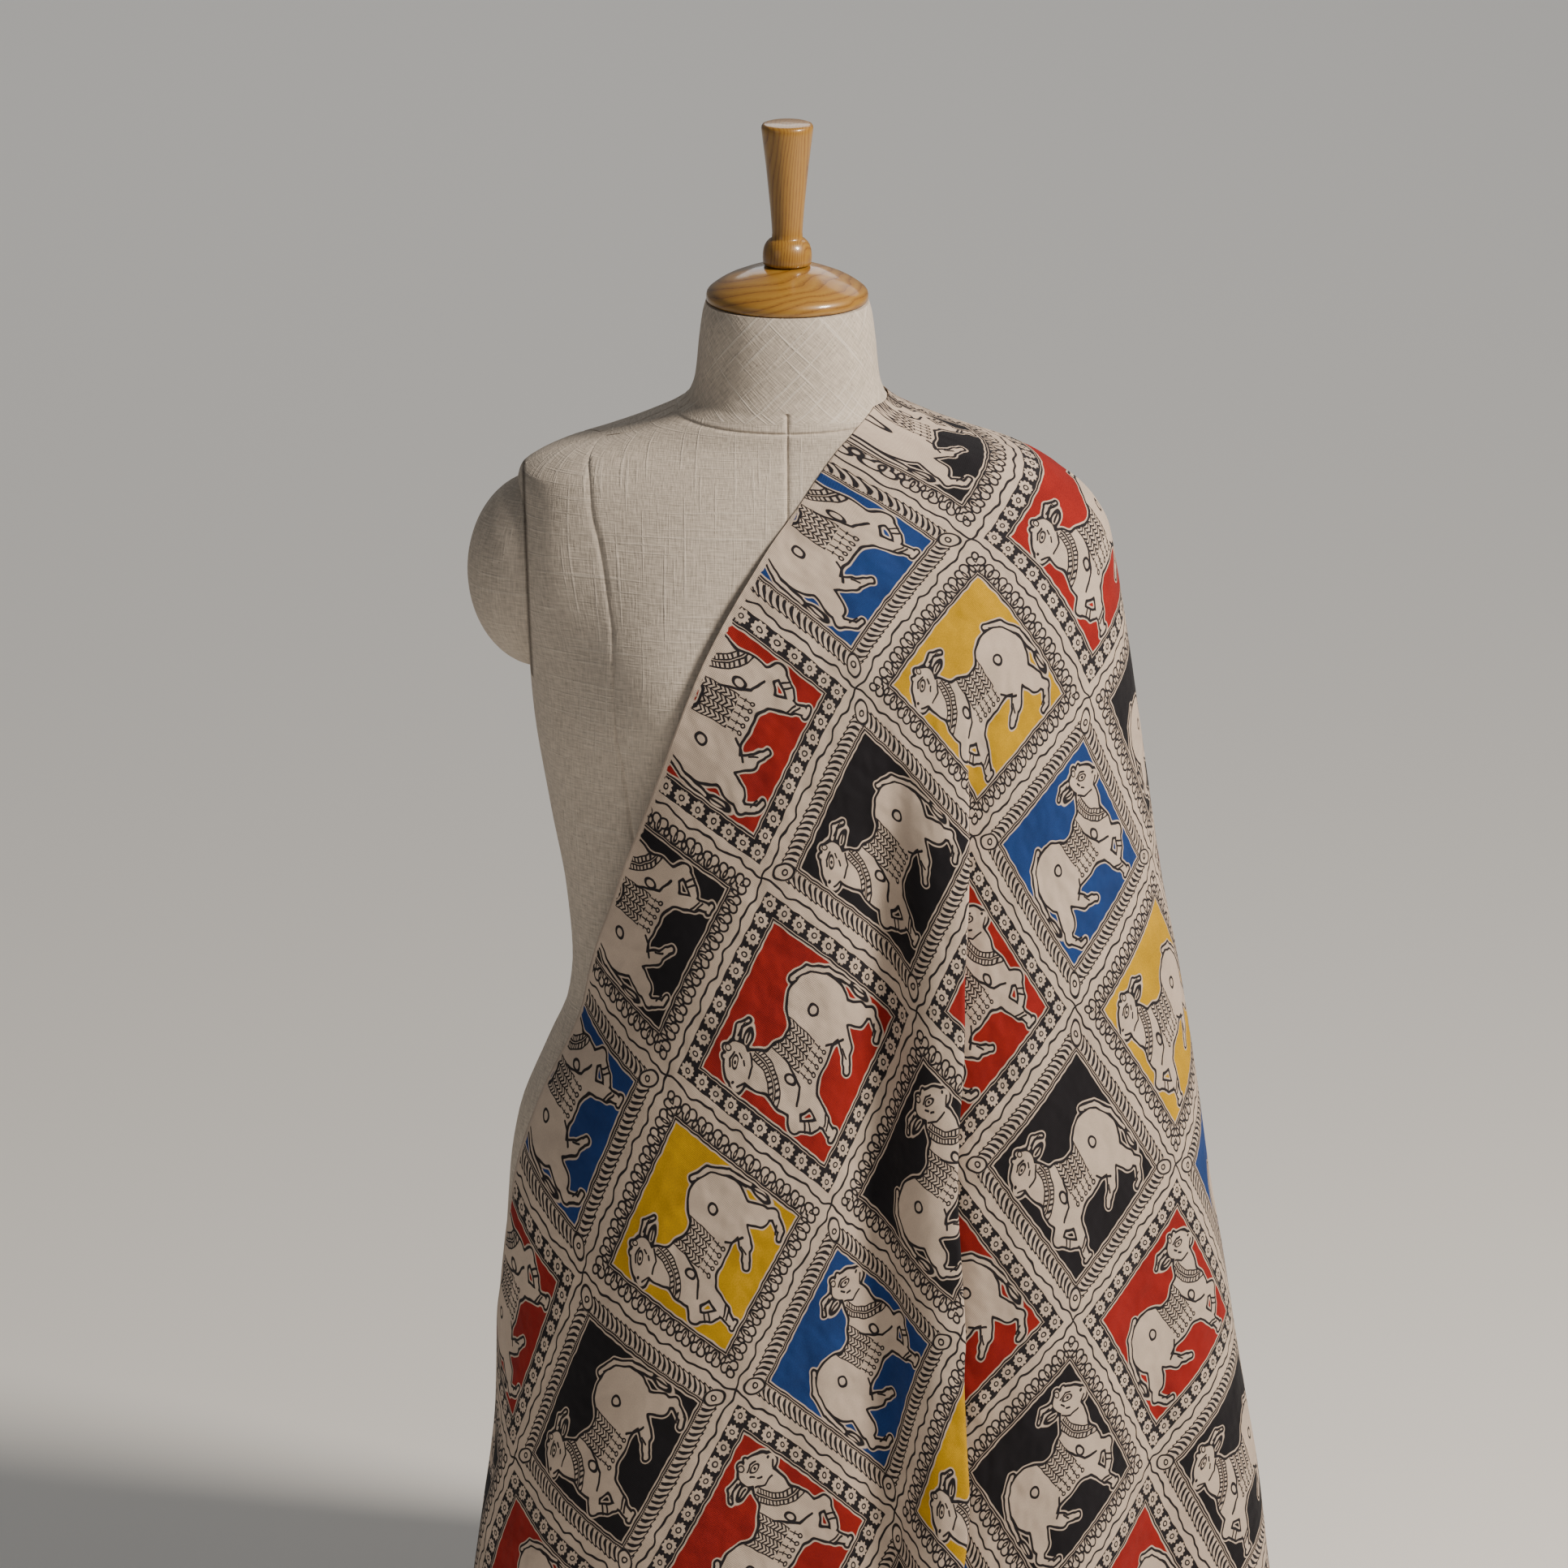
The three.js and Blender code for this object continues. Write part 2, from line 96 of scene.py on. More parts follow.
# The cloth's front edge, tuck and back edge at each height: edges are turns in degrees about the
# form, and the tuck's lip is a share of the way from the front edge to the side.
CLOTH_EDGES = (
    (12, -111, 0.62, 204), (61, -107, 0.62, 203), (120, -101, 0.62, 201), (180, -94, 0.61, 199),
    (219, -88, 0.6, 198), (250, -81, 0.59, 197), (299, -77, 0.582, 195), (349, -74, 0.574, 193),
    (399, -69, 0.566, 191), (454, -62, 0.557, 189), (512, -50, 0.545, 186), (569, -39, 0.53, 183),
    (621, -31, 0.515, 179), (682, -21.5, 0.5, 175), (728, -8.5, 0.48, 171), (761, 9.5, 0.46, 164),
    (779, 22, 0.44, 155), (795, 37, 0.42, 143), (803, 50, 0.4, 130), (807, 60, 0.4, 120),
)

# The tuck's section: along the cloth by ease times its width less a share of the hidden depth,
# out by a share of its height, and sunk by a share of the hidden depth.
TUCK_WIDTH = 20
TUCK = {"top": 640, "full": 500, "height": 15.5, "hidden_at_hem": 66}
TUCK_SECTION = (
    (-5, 0, 0, 0), (-4.1, 0, -0.08, 0), (-3.3, 0, -0.4, 0), (-2.7, 0, -0.76, 0),
    (-2.2, 0, -0.9, 0), (-1.85, 0, -0.64, 0), (-1.5, 0, -0.02, 0), (-1.1, 0, 0.52, 0),
    (-0.65, 0, 0.88, 0), (-0.2, 0, 1, 0), (0, 0, 1, 0), (0.12, 0, 0.9, 0), (0.18, 0.06, 0.68, 0.02),
    (0.28, 0.38, 0.34, 0.12), (0.4, 0.8, 0.26, 0.34), (0.5, 1, 0.16, 0.39), (0.62, 0.92, 0.04, 0.41),
    (0.8, 0.5, -0.1, 0.18), (1.2, 0.1, -0.14, 0), (2, 0, 0, 0),
)

# Soft folds: turn at the hem and at the top, width in degrees, how far out at the hem, top height.
SOFT_FOLDS = (
    (-40, -20, 17, 5, 420), (4, 8, 13, -7, 500), (55, 52, 7, 9, 560), (68, 69, 5, -17, 360),
    (83, 84, 7, 8, 420), (113, 112, 8, -16, 560), (129, 127, 8, 11, 560), (147, 146, 8, -12, 500),
    (166, 163, 9, 10, 540), (187, 180, 8, -8, 420), (-72, -52, 7, -4, 330), (-92, -60, 6, 4, 240),
)

# The sheet's rows, how many of them lie on the shoulder, its columns before, in and after the tuck
# and behind the side, the steps that measure a level line, and how far its flat fan opens.
CLOTH_ROWS = 150
SHOULDER_ROWS = 50
SHOULDER_FOOT = 700
COLUMNS = {"before": 56, "tuck": 60, "after": 44, "back": 60}
ARC_STEPS = 500
FAN_ANGLE = 1.75

# Steps in which a level line of the form is measured: half of its front for a seam, and all round.
SEAM_STEPS = 400
TURN_STEPS = 721

# How often the flat sheet is settled, and by how many steps each time: first its every second row
# and column, then all of it.
COARSE_ROUNDS = (30, 50)
FINE_ROUNDS = (4, 30)

# The print: panels repeat every PITCH. PRINT_START is where the crossing between the first two rows
# and the first two columns lies, down the front edge and away from it.
PITCH = 130
PRINT_START = (50, 82)

# Crossings of the print's lines that show: column, row, and the place in the photograph in pixels.
# The first is a point of the line that runs up to the shoulder, 0.6 of a panel above a crossing.
CROSSINGS = (
    (0, -0.6, 1264, 564), (0, 0, 1189, 658), (0, 1, 1061, 843), (0, 2, 937, 1086),
    (0, 3, 820, 1329), (0, 4, 722, 1567), (0, 5, 633, 1803), (1, 0, 1336, 867), (1, 1, 1201, 1038),
    (1, 2, 1134, 1253), (1, 3, 1027, 1488), (1, 4, 901, 1714), (2, 1, 1325, 1249),
    (2, 3, 1178, 1652), (2, 4, 1108, 1864), (3, 1, 1448, 1438), (3, 2, 1322, 1625),
    (4, 2, 1415, 1796),
)

# How a crossing is looked for: how near in pixels, how deep the front layer's points may lie behind
# its nearest, and which of the tuck's columns lie under the lip, below a height.
NEAR_PIXELS = 14
LAYER_DEPTH = 25
UNDER_LIP = (0.55, 0.92)
UNDER_TOP = 470
UNDER_PUSH = 60
FAR = 1e9

# How far a crossing's pull on the print spreads, how much it gives way, and the plain strip beside
# the front edge, which keeps its straight print.
PULL_REACH = 170
PULL_EASE = 0.08
EDGE_STRIP = 70

# The print's own drawing, in units of a square of 100 with its middle at 0, 0: the bull faces right,
# its back is up, and all lines and ovals are placed one by one. A panel is PANEL wide with its
# borders.
PANEL = 139
SQUARE_HALF = 50

# How softly ink ends on the cotton, and the drawn distance between its threads.
INK_EDGE = 0.35
THREAD = 1.0

# Ovals of the bull's body: middle, half sizes and turn. Then those of its head and hump.
BULL_BODY = (
    ((-23, 0), (21.5, 22.5), 0), ((3, -4), (28, 16), 0), ((25, -6), (17, 18.5), 0),
    ((17, 10), (10, 8), 0), ((30, 16), (12, 16), -15),
)
BULL_HEAD = (
    ((35, 32), (14, 9), -27), ((45, 26), (6, 5), 0), ((18.5, 32.5), (6, 2.6), -8),
    ((-47.5, -21), (2.8, 7.5), 6),
)

# The bull's legs, tail and horns: start, end and half of the thickness.
BULL_LIMBS = (
    ((24, -22), (30, -36), 4.4), ((30, -36), (33, -44), 3), ((31, -47), (36, -47), 2),
    ((34, -13), (44, -20), 4.6), ((44, -20), (38, -30), 3.2), ((38, -30), (34.5, -33), 3),
    ((-31, -16), (-36, -28), 7), ((-37, -28), (-42, -36), 3.6), ((-42, -36), (-37, -44), 2.6),
    ((-36, -46), (-31, -47), 2), ((-22, -20), (-14, -29), 4.4), ((-14, -29), (-7, -33), 2.8),
    ((-7, -33), (-3, -36), 2.2), ((-28, 24.5), (-39, 18), 2.1), ((-39, 18), (-46, 5), 2),
    ((-46, 5), (-48.2, -12), 1.8), ((22, 39), (15, 41), 1.9), ((15, 41), (8.5, 37), 1.4),
    ((29, 40), (31, 42.5), 2.4), ((34.5, 39.5), (36, 41), 2),
)

# Lines inked inside the bull: their points and half of their thickness.
BULL_LINES = (
    (((-8, -15), (-11, -19.5), (-17.5, -24)), 0.85), (((25, 27), (30, 22), (38, 20.5)), 0.68),
    (((30.5, 36.5), (35.5, 37), (39, 35)), 0.68), (((42.5, 22.5), (47, 24.8)), 0.68),
    (((14, 6), (18, -3), (23, -11), (33, -15.5)), 0.85), (((46, 28.6), (46.6, 28.6)), 0.95),
    (((14, 33.3), (21, 32)), 0.68), (((25.6, -35.4), (32.6, -38.4)), 0.68),
    (((26.9, -38.4), (33.4, -41.2)), 0.68), (((38.6, -24.6), (43.2, -28.6)), 0.68),
    (((36.4, -27), (40.4, -31)), 0.68), (((-30, 22), (-38.5, 15.5), (-43.5, 5), (-45.5, -10)), 0.68),
    (((-47.5, -15), (-47.8, -26)), 0.68), (((-32, -43.2), (-37.6, -41)), 0.68),
    (((12, 38.8), (20, 39)), 0.68), (((-12, -26.5), (-9.5, -31.5)), 0.68),
    (((35, 33.2), (35.4, 33)), 0.95), (((29, 33), (30.4, 30.6)), 0.68),
    (((31, 28.4), (33, 26.6)), 0.68),
)

# Rings inked inside the bull: middle, half sizes, turn and half of the line's thickness.
BULL_RINGS = (
    ((22.5, -3.5), (2.7, 3.8), 8, 0.75), ((-20.5, 3), (3.1, 3.4), 0, 0.8),
    ((35, 33.2), (3.8, 1.9), -22, 0.45), ((30, 41.3), (1.7, 1.9), 0, 0.45),
)

# How far the bull's parts round into each other: its body's ovals, its head with the limbs, and the
# two together. Then half of its outline's thickness, and the cream rim that the dye leaves about it.
BULL_ROUNDING = (5, 1.2, 2)
BULL_EDGE = 0.85
BULL_RIM = 1.75

# The neck bands: what they circle, their radii, how far out from their middles their edges lie, the
# beads' slant and half pitch, half of their width, and the height that they end at.
NECK_BANDS = {
    "about": (48, 24), "radii": (22, 26.6), "edge": 1.6, "slant": 0.6, "bead": 1.05, "half": 2.1,
    "top": 25,
}

# The saddle cloth: its middle, lean and half width, its foot, where its columns of chevrons start,
# half of a column's width, and the chevrons' steepness and half pitch. Then the tassels below it:
# half of their row, their pitch, their rings' height and radius, their strings' ends and their bars.
SADDLE = {
    "middle": 4.5, "lean": 0.12, "half": 11.4, "foot": -7, "start": 11, "column": 2.75,
    "steep": 0.9, "chevron": 1.45,
}
TASSELS = {
    "half": 12.5, "pitch": 5, "ring_at": -15.5, "ring": 1.2, "string": (-14.4, -7.4),
    "bar_at": -11, "bar": 1.5,
}

# A border's lines: how far out each lies, and half of its thickness. The third is cut into ticks of
# this half pitch, and the border's ink starts this far out.
FRAME_LINES = ((1.6, 0.6), (3.1, 0.5), (3.7, 0.6))
TICK = 0.72
FRAME_START = 0.3

# How far off the ornaments are that a panel doesn't have.
NOT_HERE = 99

# Its flowers: how far out they lie, half of their band, how many steps of them to a corner, their
# petals' number, reach and notches, and their hearts' radius.
FLOWERS = {
    "out": 8.4, "band": 5.4, "steps": 5, "petals": 10, "reach": 4.55, "notch": 0.55, "heart": 1.5,
}

# Its rope: where its crescents start and how deep they are, their bow, lean and half pitch, where
# they are thickest, how thick, and how steep their sides are, the scalloped edge's place and depth,
# and the leaf at each corner with its seed: places and half sizes.
ROPE = {
    "from": 4.2, "deep": 9, "bow": 5.5, "lean": 5.2, "half_pitch": 2.2, "middle": 0.45,
    "thick": 1.05, "steep": 0.8, "edge": 12.2, "scallop": 0.5, "leaf": (9, (7.6, 4.8)),
    "seed": (8.5, (1.7, 1.7)),
}

# Its scallops: how far out the row is measured, how many hearts to a corner, and the ovals of a
# heart's lobe and stem, of its inner drop and of the loop between two: places and half sizes.
SCALLOPS = {
    "out": 8.4, "steps": 4.5, "lobe": ((2.7, 10.3), (2.9, 3.1)), "stem": ((0, 7.2), (2.9, 3.7)),
    "drop": ((0, 7.8), (0.9, 2.4)), "loop": (6.8, (1.3, 2.6)),
}

# The wavy lines where panels meet: the size and length of their two waves, and half their thickness.
WAVES = ((1.2, 27), (0.5, 11.3))
WAVY_HALF = 0.78

# Panels repeat every three rows and two columns: ground colour, then rope, scallop and flower.
PANELS = (
    ("17151a", (0, 1, 0)), ("8e1a15", (0, 0, 1)), ("173872", (1, 0, 0)),
    ("bd920c", (0, 1, 0)), ("8e1a15", (0, 0, 1)), ("17151a", (1, 0, 0)),
)

# The form's seams: how wide and deep they sink, the neck seam's height and its dip in front, and
# how far the princess seam lies from the middle at each height.
SEAM = {"wide": 0.95, "deep": 1.4}
NECK_SEAM = {"side": 801, "dip": 6}
PRINCESS_SEAM = (
    (0, 104), (200, 100), (430, 86), (590, 100.5), (616, 105.5), (641, 106.5), (673, 106.5),
    (700, 109.5), (728, 113), (749, 117), (768, 118.5), (774, 119), (780, 116.5), (786, 99.5),
    (792, 84.5), (799, 69.5), (807, 59), (819, 55), (866, 49)
)

# Edges are sharp where the linen form turns more than this, at its base and neck.
FORM_CREASE = 50

# The form's columns between two upright seams, and its rows: how many of them up to each height.
PANEL_COLUMNS = 30
FORM_ROWS = ((0, 740, 84), (740, 788, 34), (788, 812, 52))
NECK_ROWS = 24

# How much further the linen runs down over the shoulder than straight down it, from which height.
SHOULDER_FALL = 60
SHOULDER_BEND = {"from": 740, "over": 70}

# The flat plate that the bare arm's root lies on: its corners' turn from the side, and their size.
PLATE = {"turn": 18, "wide": 10, "out": 12, "height": 702, "tall": 66}

# The neck's linen lies turned by an eighth, so this is that turn's sine and cosine.
BIAS = 0.707

# The painted shade beside the armhole seam, in metres: a dark line where shade falls between arm
# and torso. How far out it starts, how it leans out with height, its width as a steepness, and its
# middle and half of its height.
ARMHOLE_SHADE = {"out": 0.1311, "lean": 0.04, "steep": 600, "height": 0.7, "half_tall": 0.064}

# The arm's cloth in mm: once round the ball, and from pole to pole.
ARM_WEAVE = (290, 170)

ARMS = (("linen_arm_right", 1, "arm_cap_right"), ("linen_arm_left", -1, "arm_cap_left"))

# The turned wooden pieces' profiles, as radius and height, from the bottom.
CAP_PROFILE = (
    (48.2, 866), (49.3, 866.4), (49.75, 867.5), (49.75, 870), (49.2, 871.8), (47.8, 873.5),
    (44.5, 876), (40.7, 878.5), (35.5, 881.2), (29.7, 883.5), (25, 885.3), (19.7, 887), (12, 888.2),
    (2, 888.5),
)
FINIAL_PROFILE = (
    (14, 888.8), (14.7, 889.3), (15, 890.6), (15.15, 893.2), (15.05, 895.9), (14.6, 898.6),
    (13.8, 900.9), (12.6, 902.8), (11.2, 904.2), (9.9, 905), (9.5, 905.8), (9.4, 908.8),
    (9.7, 914), (10.6, 924.8), (11.9, 938), (13.2, 950.8), (14.6, 962), (15.7, 971),
    (16, 973.8), (15.8, 975.2), (15.1, 976.3), (13.6, 976.8), (3, 976.8),
)

# Turned pieces: name, profile, sharpest smooth angle, the node each stands for, and the grain's
# squeeze along each axis, turn and ring width in mm.
WOOD_PIECES = (
    ("turned_neck_cap", CAP_PROFILE, 60, "neck_cap", ((0.3, 1, 1.8), (0.15, 0.2, 0.35), 26)),
    ("turned_finial", FINIAL_PROFILE, 60, "finial", ((0.12, 1, 1), (0, 1.52, 0), 7)),
)

# Faces round a turned piece and an arm, and rings of faces along an arm.
ROUND_FACES = 64
ARM_RINGS = 48

# The wood's colours, from the pores' dark brown to honey, and how strong a tone each stands for.
WOOD_STAIN = (("623c12", 0.14), ("8d6120", 0.32), ("a3792e", 0.6), ("9a6d27", 0.92))

# Materials read places in metres and draw in mm, and cloth patterns lie flat on the cloth.
PER_METRE = 1000
FLAT = {"noise_dimensions": "2D"}

# Printed lines wander by up to half of WANDER_REACH in mm. WANDER, like all patterns below, is given
# as swells to the mm, detail and, where it has any, roughness.
WANDER = (0.16, 0)
WANDER_REACH = 1.2

# The cotton's ragged end of the print, clouds of dye 30 mm wide, specks of 1 mm and rumples of 20 mm.
COTTON_NOISES = ((0.25, 1, 0.6), (0.035, 3, 0.6), (1.1, 1, 0.6), (0.045, 2, 0.55))

# How strongly clouds and then specks, or linen's threads, change a colour, and how strong it is
# without them.
DYE_TONE = (0.55, 0.5, 0.46)
CREAM_TONE = (0.3, 0.22, 0.75)
LINEN_TONE = (0.16, 0.5, 0.4)

# Linen's threads and slubs: swells to the mm across and along a thread, detail and roughness. Then
# its flecks, 2 mm wide, and its clouds of 50 mm.
LINEN_THREAD = (0.9, 0.11, 1, 0.6)
LINEN_SLUB = (0.42, 0.012, 0, 0.5)
LINEN_FLECKS = (0.42, 2, 0.75)
LINEN_CLOUDS = (0.02, 2, 0.5)

# The wood's drift, over 30 mm, and its pores, 1 mm apart, both before the squeeze. Then how far its
# rings drift, in mm, and how much pores and rings change its tone.
WOOD_NOISES = ((0.03, 2, 0.5), (0.9, 3, 0.6))
RING_DRIFT = 26
WOOD_TONE = (0.45, 0.75)

# How far up the wood's pattern is moved once it is turned, in mm.
WOOD_SHIFT = -0.86

# Studio lights in metres: name, place, what each is aimed at, width, power and colour. Then the
# pale room's own colour and strength, and the floor's width.
LIGHTS = (
    ("key_light", (1.75, -0.95, 2.35), (0, 0, 0.6), 0.6, 107, "fff4e6"),
    ("fill_light", (-3.0, -2.8, 1.6), (0, 0, 0.5), 2.4, 4, "f2f6ff"),
    ("rim_light", (1.6, 2.8, 3.0), (0, 0, 0.6), 1.6, 8, "ffffff"),
    ("background_light", (0, 5.2, 3.2), (0, 3.6, 0), 3.0, 40, "ffffff"),
)
ROOM_LIGHT = ("f4f3f1", 0.16)
FLOOR_WIDTH = 40


def column(table, place):
    """A smooth curve through one column of a table over its first column, with no overshoot."""
    rows = sorted(table)
    at = np.array([row[0] for row in rows], float)
    value = np.array([row[place] for row in rows], float)
    slope = np.diff(value) / np.diff(at)
    lean = np.concatenate([slope[:1], np.zeros(len(rows) - 2), slope[-1:]])
    for i in range(1, len(rows) - 1):
        if slope[i - 1] * slope[i] > 0:
            lean[i] = 2 * slope[i - 1] * slope[i] / (slope[i - 1] + slope[i])

    def curve(where):
        where = np.clip(where, at[0], at[-1])
        i = np.clip(np.searchsorted(at, where, side="right") - 1, 0, len(at) - 2)
        span = at[i + 1] - at[i]
        t = (where - at[i]) / span
        rise = t * t * (3 - 2 * t)
        bend = t * (1 - t) ** 2 * lean[i] + t * t * (t - 1) * lean[i + 1]
        return value[i] * (1 - rise) + value[i + 1] * rise + span * bend

    return curve


form_half, form_front, form_back = (column(FORM_SECTIONS, k) for k in (1, 2, 3))
reach_right, reach_left, reach_front, reach_back = (column(CLOTH_REACH, k) for k in (1, 2, 3, 4))
edge_front, tuck_lip, edge_back = (column(CLOTH_EDGES, k) for k in (1, 2, 3))
princess_across = column(PRINCESS_SEAM, 1)


def oval_reach(turn, half, depth):
    across = np.abs(np.sin(turn)) / half
    deep = np.abs(np.cos(turn)) / depth
    return (across**FORM_SQUARENESS + deep**FORM_SQUARENESS) ** (-1 / FORM_SQUARENESS)


def bell(value):
    return np.exp(-value * value)


def smooth_step(value):
    t = np.clip(value, 0, 1)
    return t * t * (3 - 2 * t)


def form_reach(z, turn):
    depth = np.where(np.cos(turn) > 0, form_front(z), form_back(z))
    side = np.abs(np.arctan2(np.sin(turn), np.cos(turn))) - math.radians(BUST["turn"])
    swell = bell((z - BUST["height"]) / BUST["tall"]) * bell(side / math.radians(BUST["wide"]))
    return oval_reach(turn, form_half(z), depth) + BUST["swell"] * swell


def cloth_reach(z, turn):
    half = np.where(np.sin(turn) > 0, reach_right(z), reach_left(z))
    depth = np.where(np.cos(turn) > 0, reach_front(z), reach_back(z))
    lower = smooth_step((CLEARANCE_BEND["from"] - z) / CLEARANCE_BEND["over"])
    clear = CLOTH_GAP + (BODY_CLEARANCE - CLOTH_GAP) * lower
    slope = (form_reach(z - 1, turn) - form_reach(z + 1, turn)) / 2
    rest = form_reach(z, turn) + clear * np.hypot(1, slope)
    hang = oval_reach(turn, half, depth)
    near = np.maximum(0, 1 - np.abs(rest - hang) / BLEND)
    return np.maximum(rest, hang) + near * near * BLEND / 4


def soft_folds(z, turn):
    out = np.zeros_like(turn)
    for hem_turn, top_turn, width, depth, top in SOFT_FOLDS:
        grown = np.clip((top - z) / (top - CLOTH_HEM), 0, 1)
        middle = top_turn + (hem_turn - top_turn) * grown
        out += depth * grown**1.2 * bell((np.degrees(turn) - middle) / width)
    return out


def tuck_points(count):
    """The tuck's section as a smooth curve through its given points."""
    section = np.array(TUCK_SECTION)
    places = np.arange(len(section), dtype=float)
    fine = np.linspace(0, len(section) - 1, count)
    curves = [column(np.column_stack([places, section[:, k]]).tolist(), 1) for k in range(4)]
    return [curve(fine) for curve in curves]


def cloth_line(z):
    """One level line of the cloth, from its front edge round the side to its back edge."""
    turn = np.radians(np.linspace(edge_front(z), edge_back(z), ARC_STEPS + 1))
    reach = cloth_reach(z, turn)
    place = np.column_stack([reach * np.sin(turn), -reach * np.cos(turn)])
    step = np.linalg.norm(np.diff(place, axis=0), axis=1)
    along = np.concatenate([[0], np.cumsum(step)])
    side = np.interp(math.pi / 2, turn, along)
    lip = side * tuck_lip(z)
    width = min(TUCK_WIDTH, lip / 4)
    hidden = TUCK["hidden_at_hem"] * max(0, (TUCK["top"] - z) / (TUCK["top"] - CLOTH_HEM))
    height = TUCK["height"] * smooth_step((TUCK["top"] - z) / (TUCK["top"] - TUCK["full"]))
    ease, share, out, sunk = tuck_points(COLUMNS["tuck"])
    tuck = lip + ease * width - share * hidden
    stops = np.concatenate([
        np.linspace(0, tuck[0], COLUMNS["before"], endpoint=False),
        tuck,
        np.linspace(tuck[-1], side, COLUMNS["after"] + 1)[1:],
        np.linspace(side, along[-1], COLUMNS["back"] + 1)[1:],
    ])
    lift = np.zeros_like(stops)
    lift[COLUMNS["before"]:COLUMNS["before"] + COLUMNS["tuck"]] = out * height - sunk * hidden
    way = np.gradient(place, axis=0)
    way /= np.linalg.norm(way, axis=1)[:, None]
    at = [np.interp(stops, along, part) for part in (*place.T, way[:, 1], -way[:, 0], turn)]
    lift += soft_folds(z, at[4])
    return np.column_stack([at[0] + at[2] * lift, at[1] + at[3] * lift, np.full_like(lift, z)])


def deselect():
    bpy.ops.object.select_all(action="DESELECT")


def grid_piece(name, points, places):
    """A grid primitive with its points set in mm, and a UV map of the same rows and columns in mm."""
    deselect()
    rows, columns = points.shape[:2]
    bpy.ops.mesh.primitive_grid_add(x_subdivisions=columns - 1, y_subdivisions=rows - 1, size=1)
    piece = bpy.context.object
    piece.name = piece.data.name = name
    mesh = piece.data
    mesh.vertices.foreach_set("co", (points * MM).reshape(-1).astype(np.float32))
    corner = np.empty(len(mesh.loops), np.int32)
    mesh.loops.foreach_get("vertex_index", corner)
    flat = places.reshape(-1, 2)[corner] * MM
    mesh.uv_layers[0].name = "Weave"
    mesh.uv_layers[0].uv.foreach_set("vector", flat.reshape(-1).astype(np.float32))
    mesh.update()
    bpy.ops.object.mode_set(mode="EDIT")
    bpy.ops.mesh.select_all(action="SELECT")
    bpy.ops.mesh.flip_normals()
    bpy.ops.object.mode_set(mode="OBJECT")
    bpy.ops.object.shade_smooth()
    return piece


def run_length(points, axis):
    """How far each point lies along its row (axis 1) or down its column (axis 0)."""
    step = np.linalg.norm(np.diff(points, axis=axis), axis=2)
    start = np.zeros_like(step.take([0], axis=axis))
    return np.concatenate([start, np.cumsum(step, axis=axis)], axis=axis)


def cloth_heights():
    """Heights from the shoulder to the hem, close together where the cloth bends over."""
    near = np.linspace(CLOTH_TOP, SHOULDER_FOOT, SHOULDER_ROWS, endpoint=False)
    return np.concatenate([near, np.linspace(SHOULDER_FOOT, CLOTH_HEM, CLOTH_ROWS - SHOULDER_ROWS)])


def fan_out(points):
    """A first flat layout of the sheet: a fan that opens from the shoulder."""
    across = run_length(points, 1)
    down = run_length(points, 0)
    angle = np.minimum(across / (down + 30), FAN_ANGLE * across / across[:, -1:])
    flat = np.stack([down * np.cos(angle), down * np.sin(angle)], -1)
    flat[0] = np.stack([-0.7 * across[0], 0.7 * across[0]], -1)
    flat[:, 0] = np.stack([down[:, 0], np.zeros(len(down))], -1)
    return flat


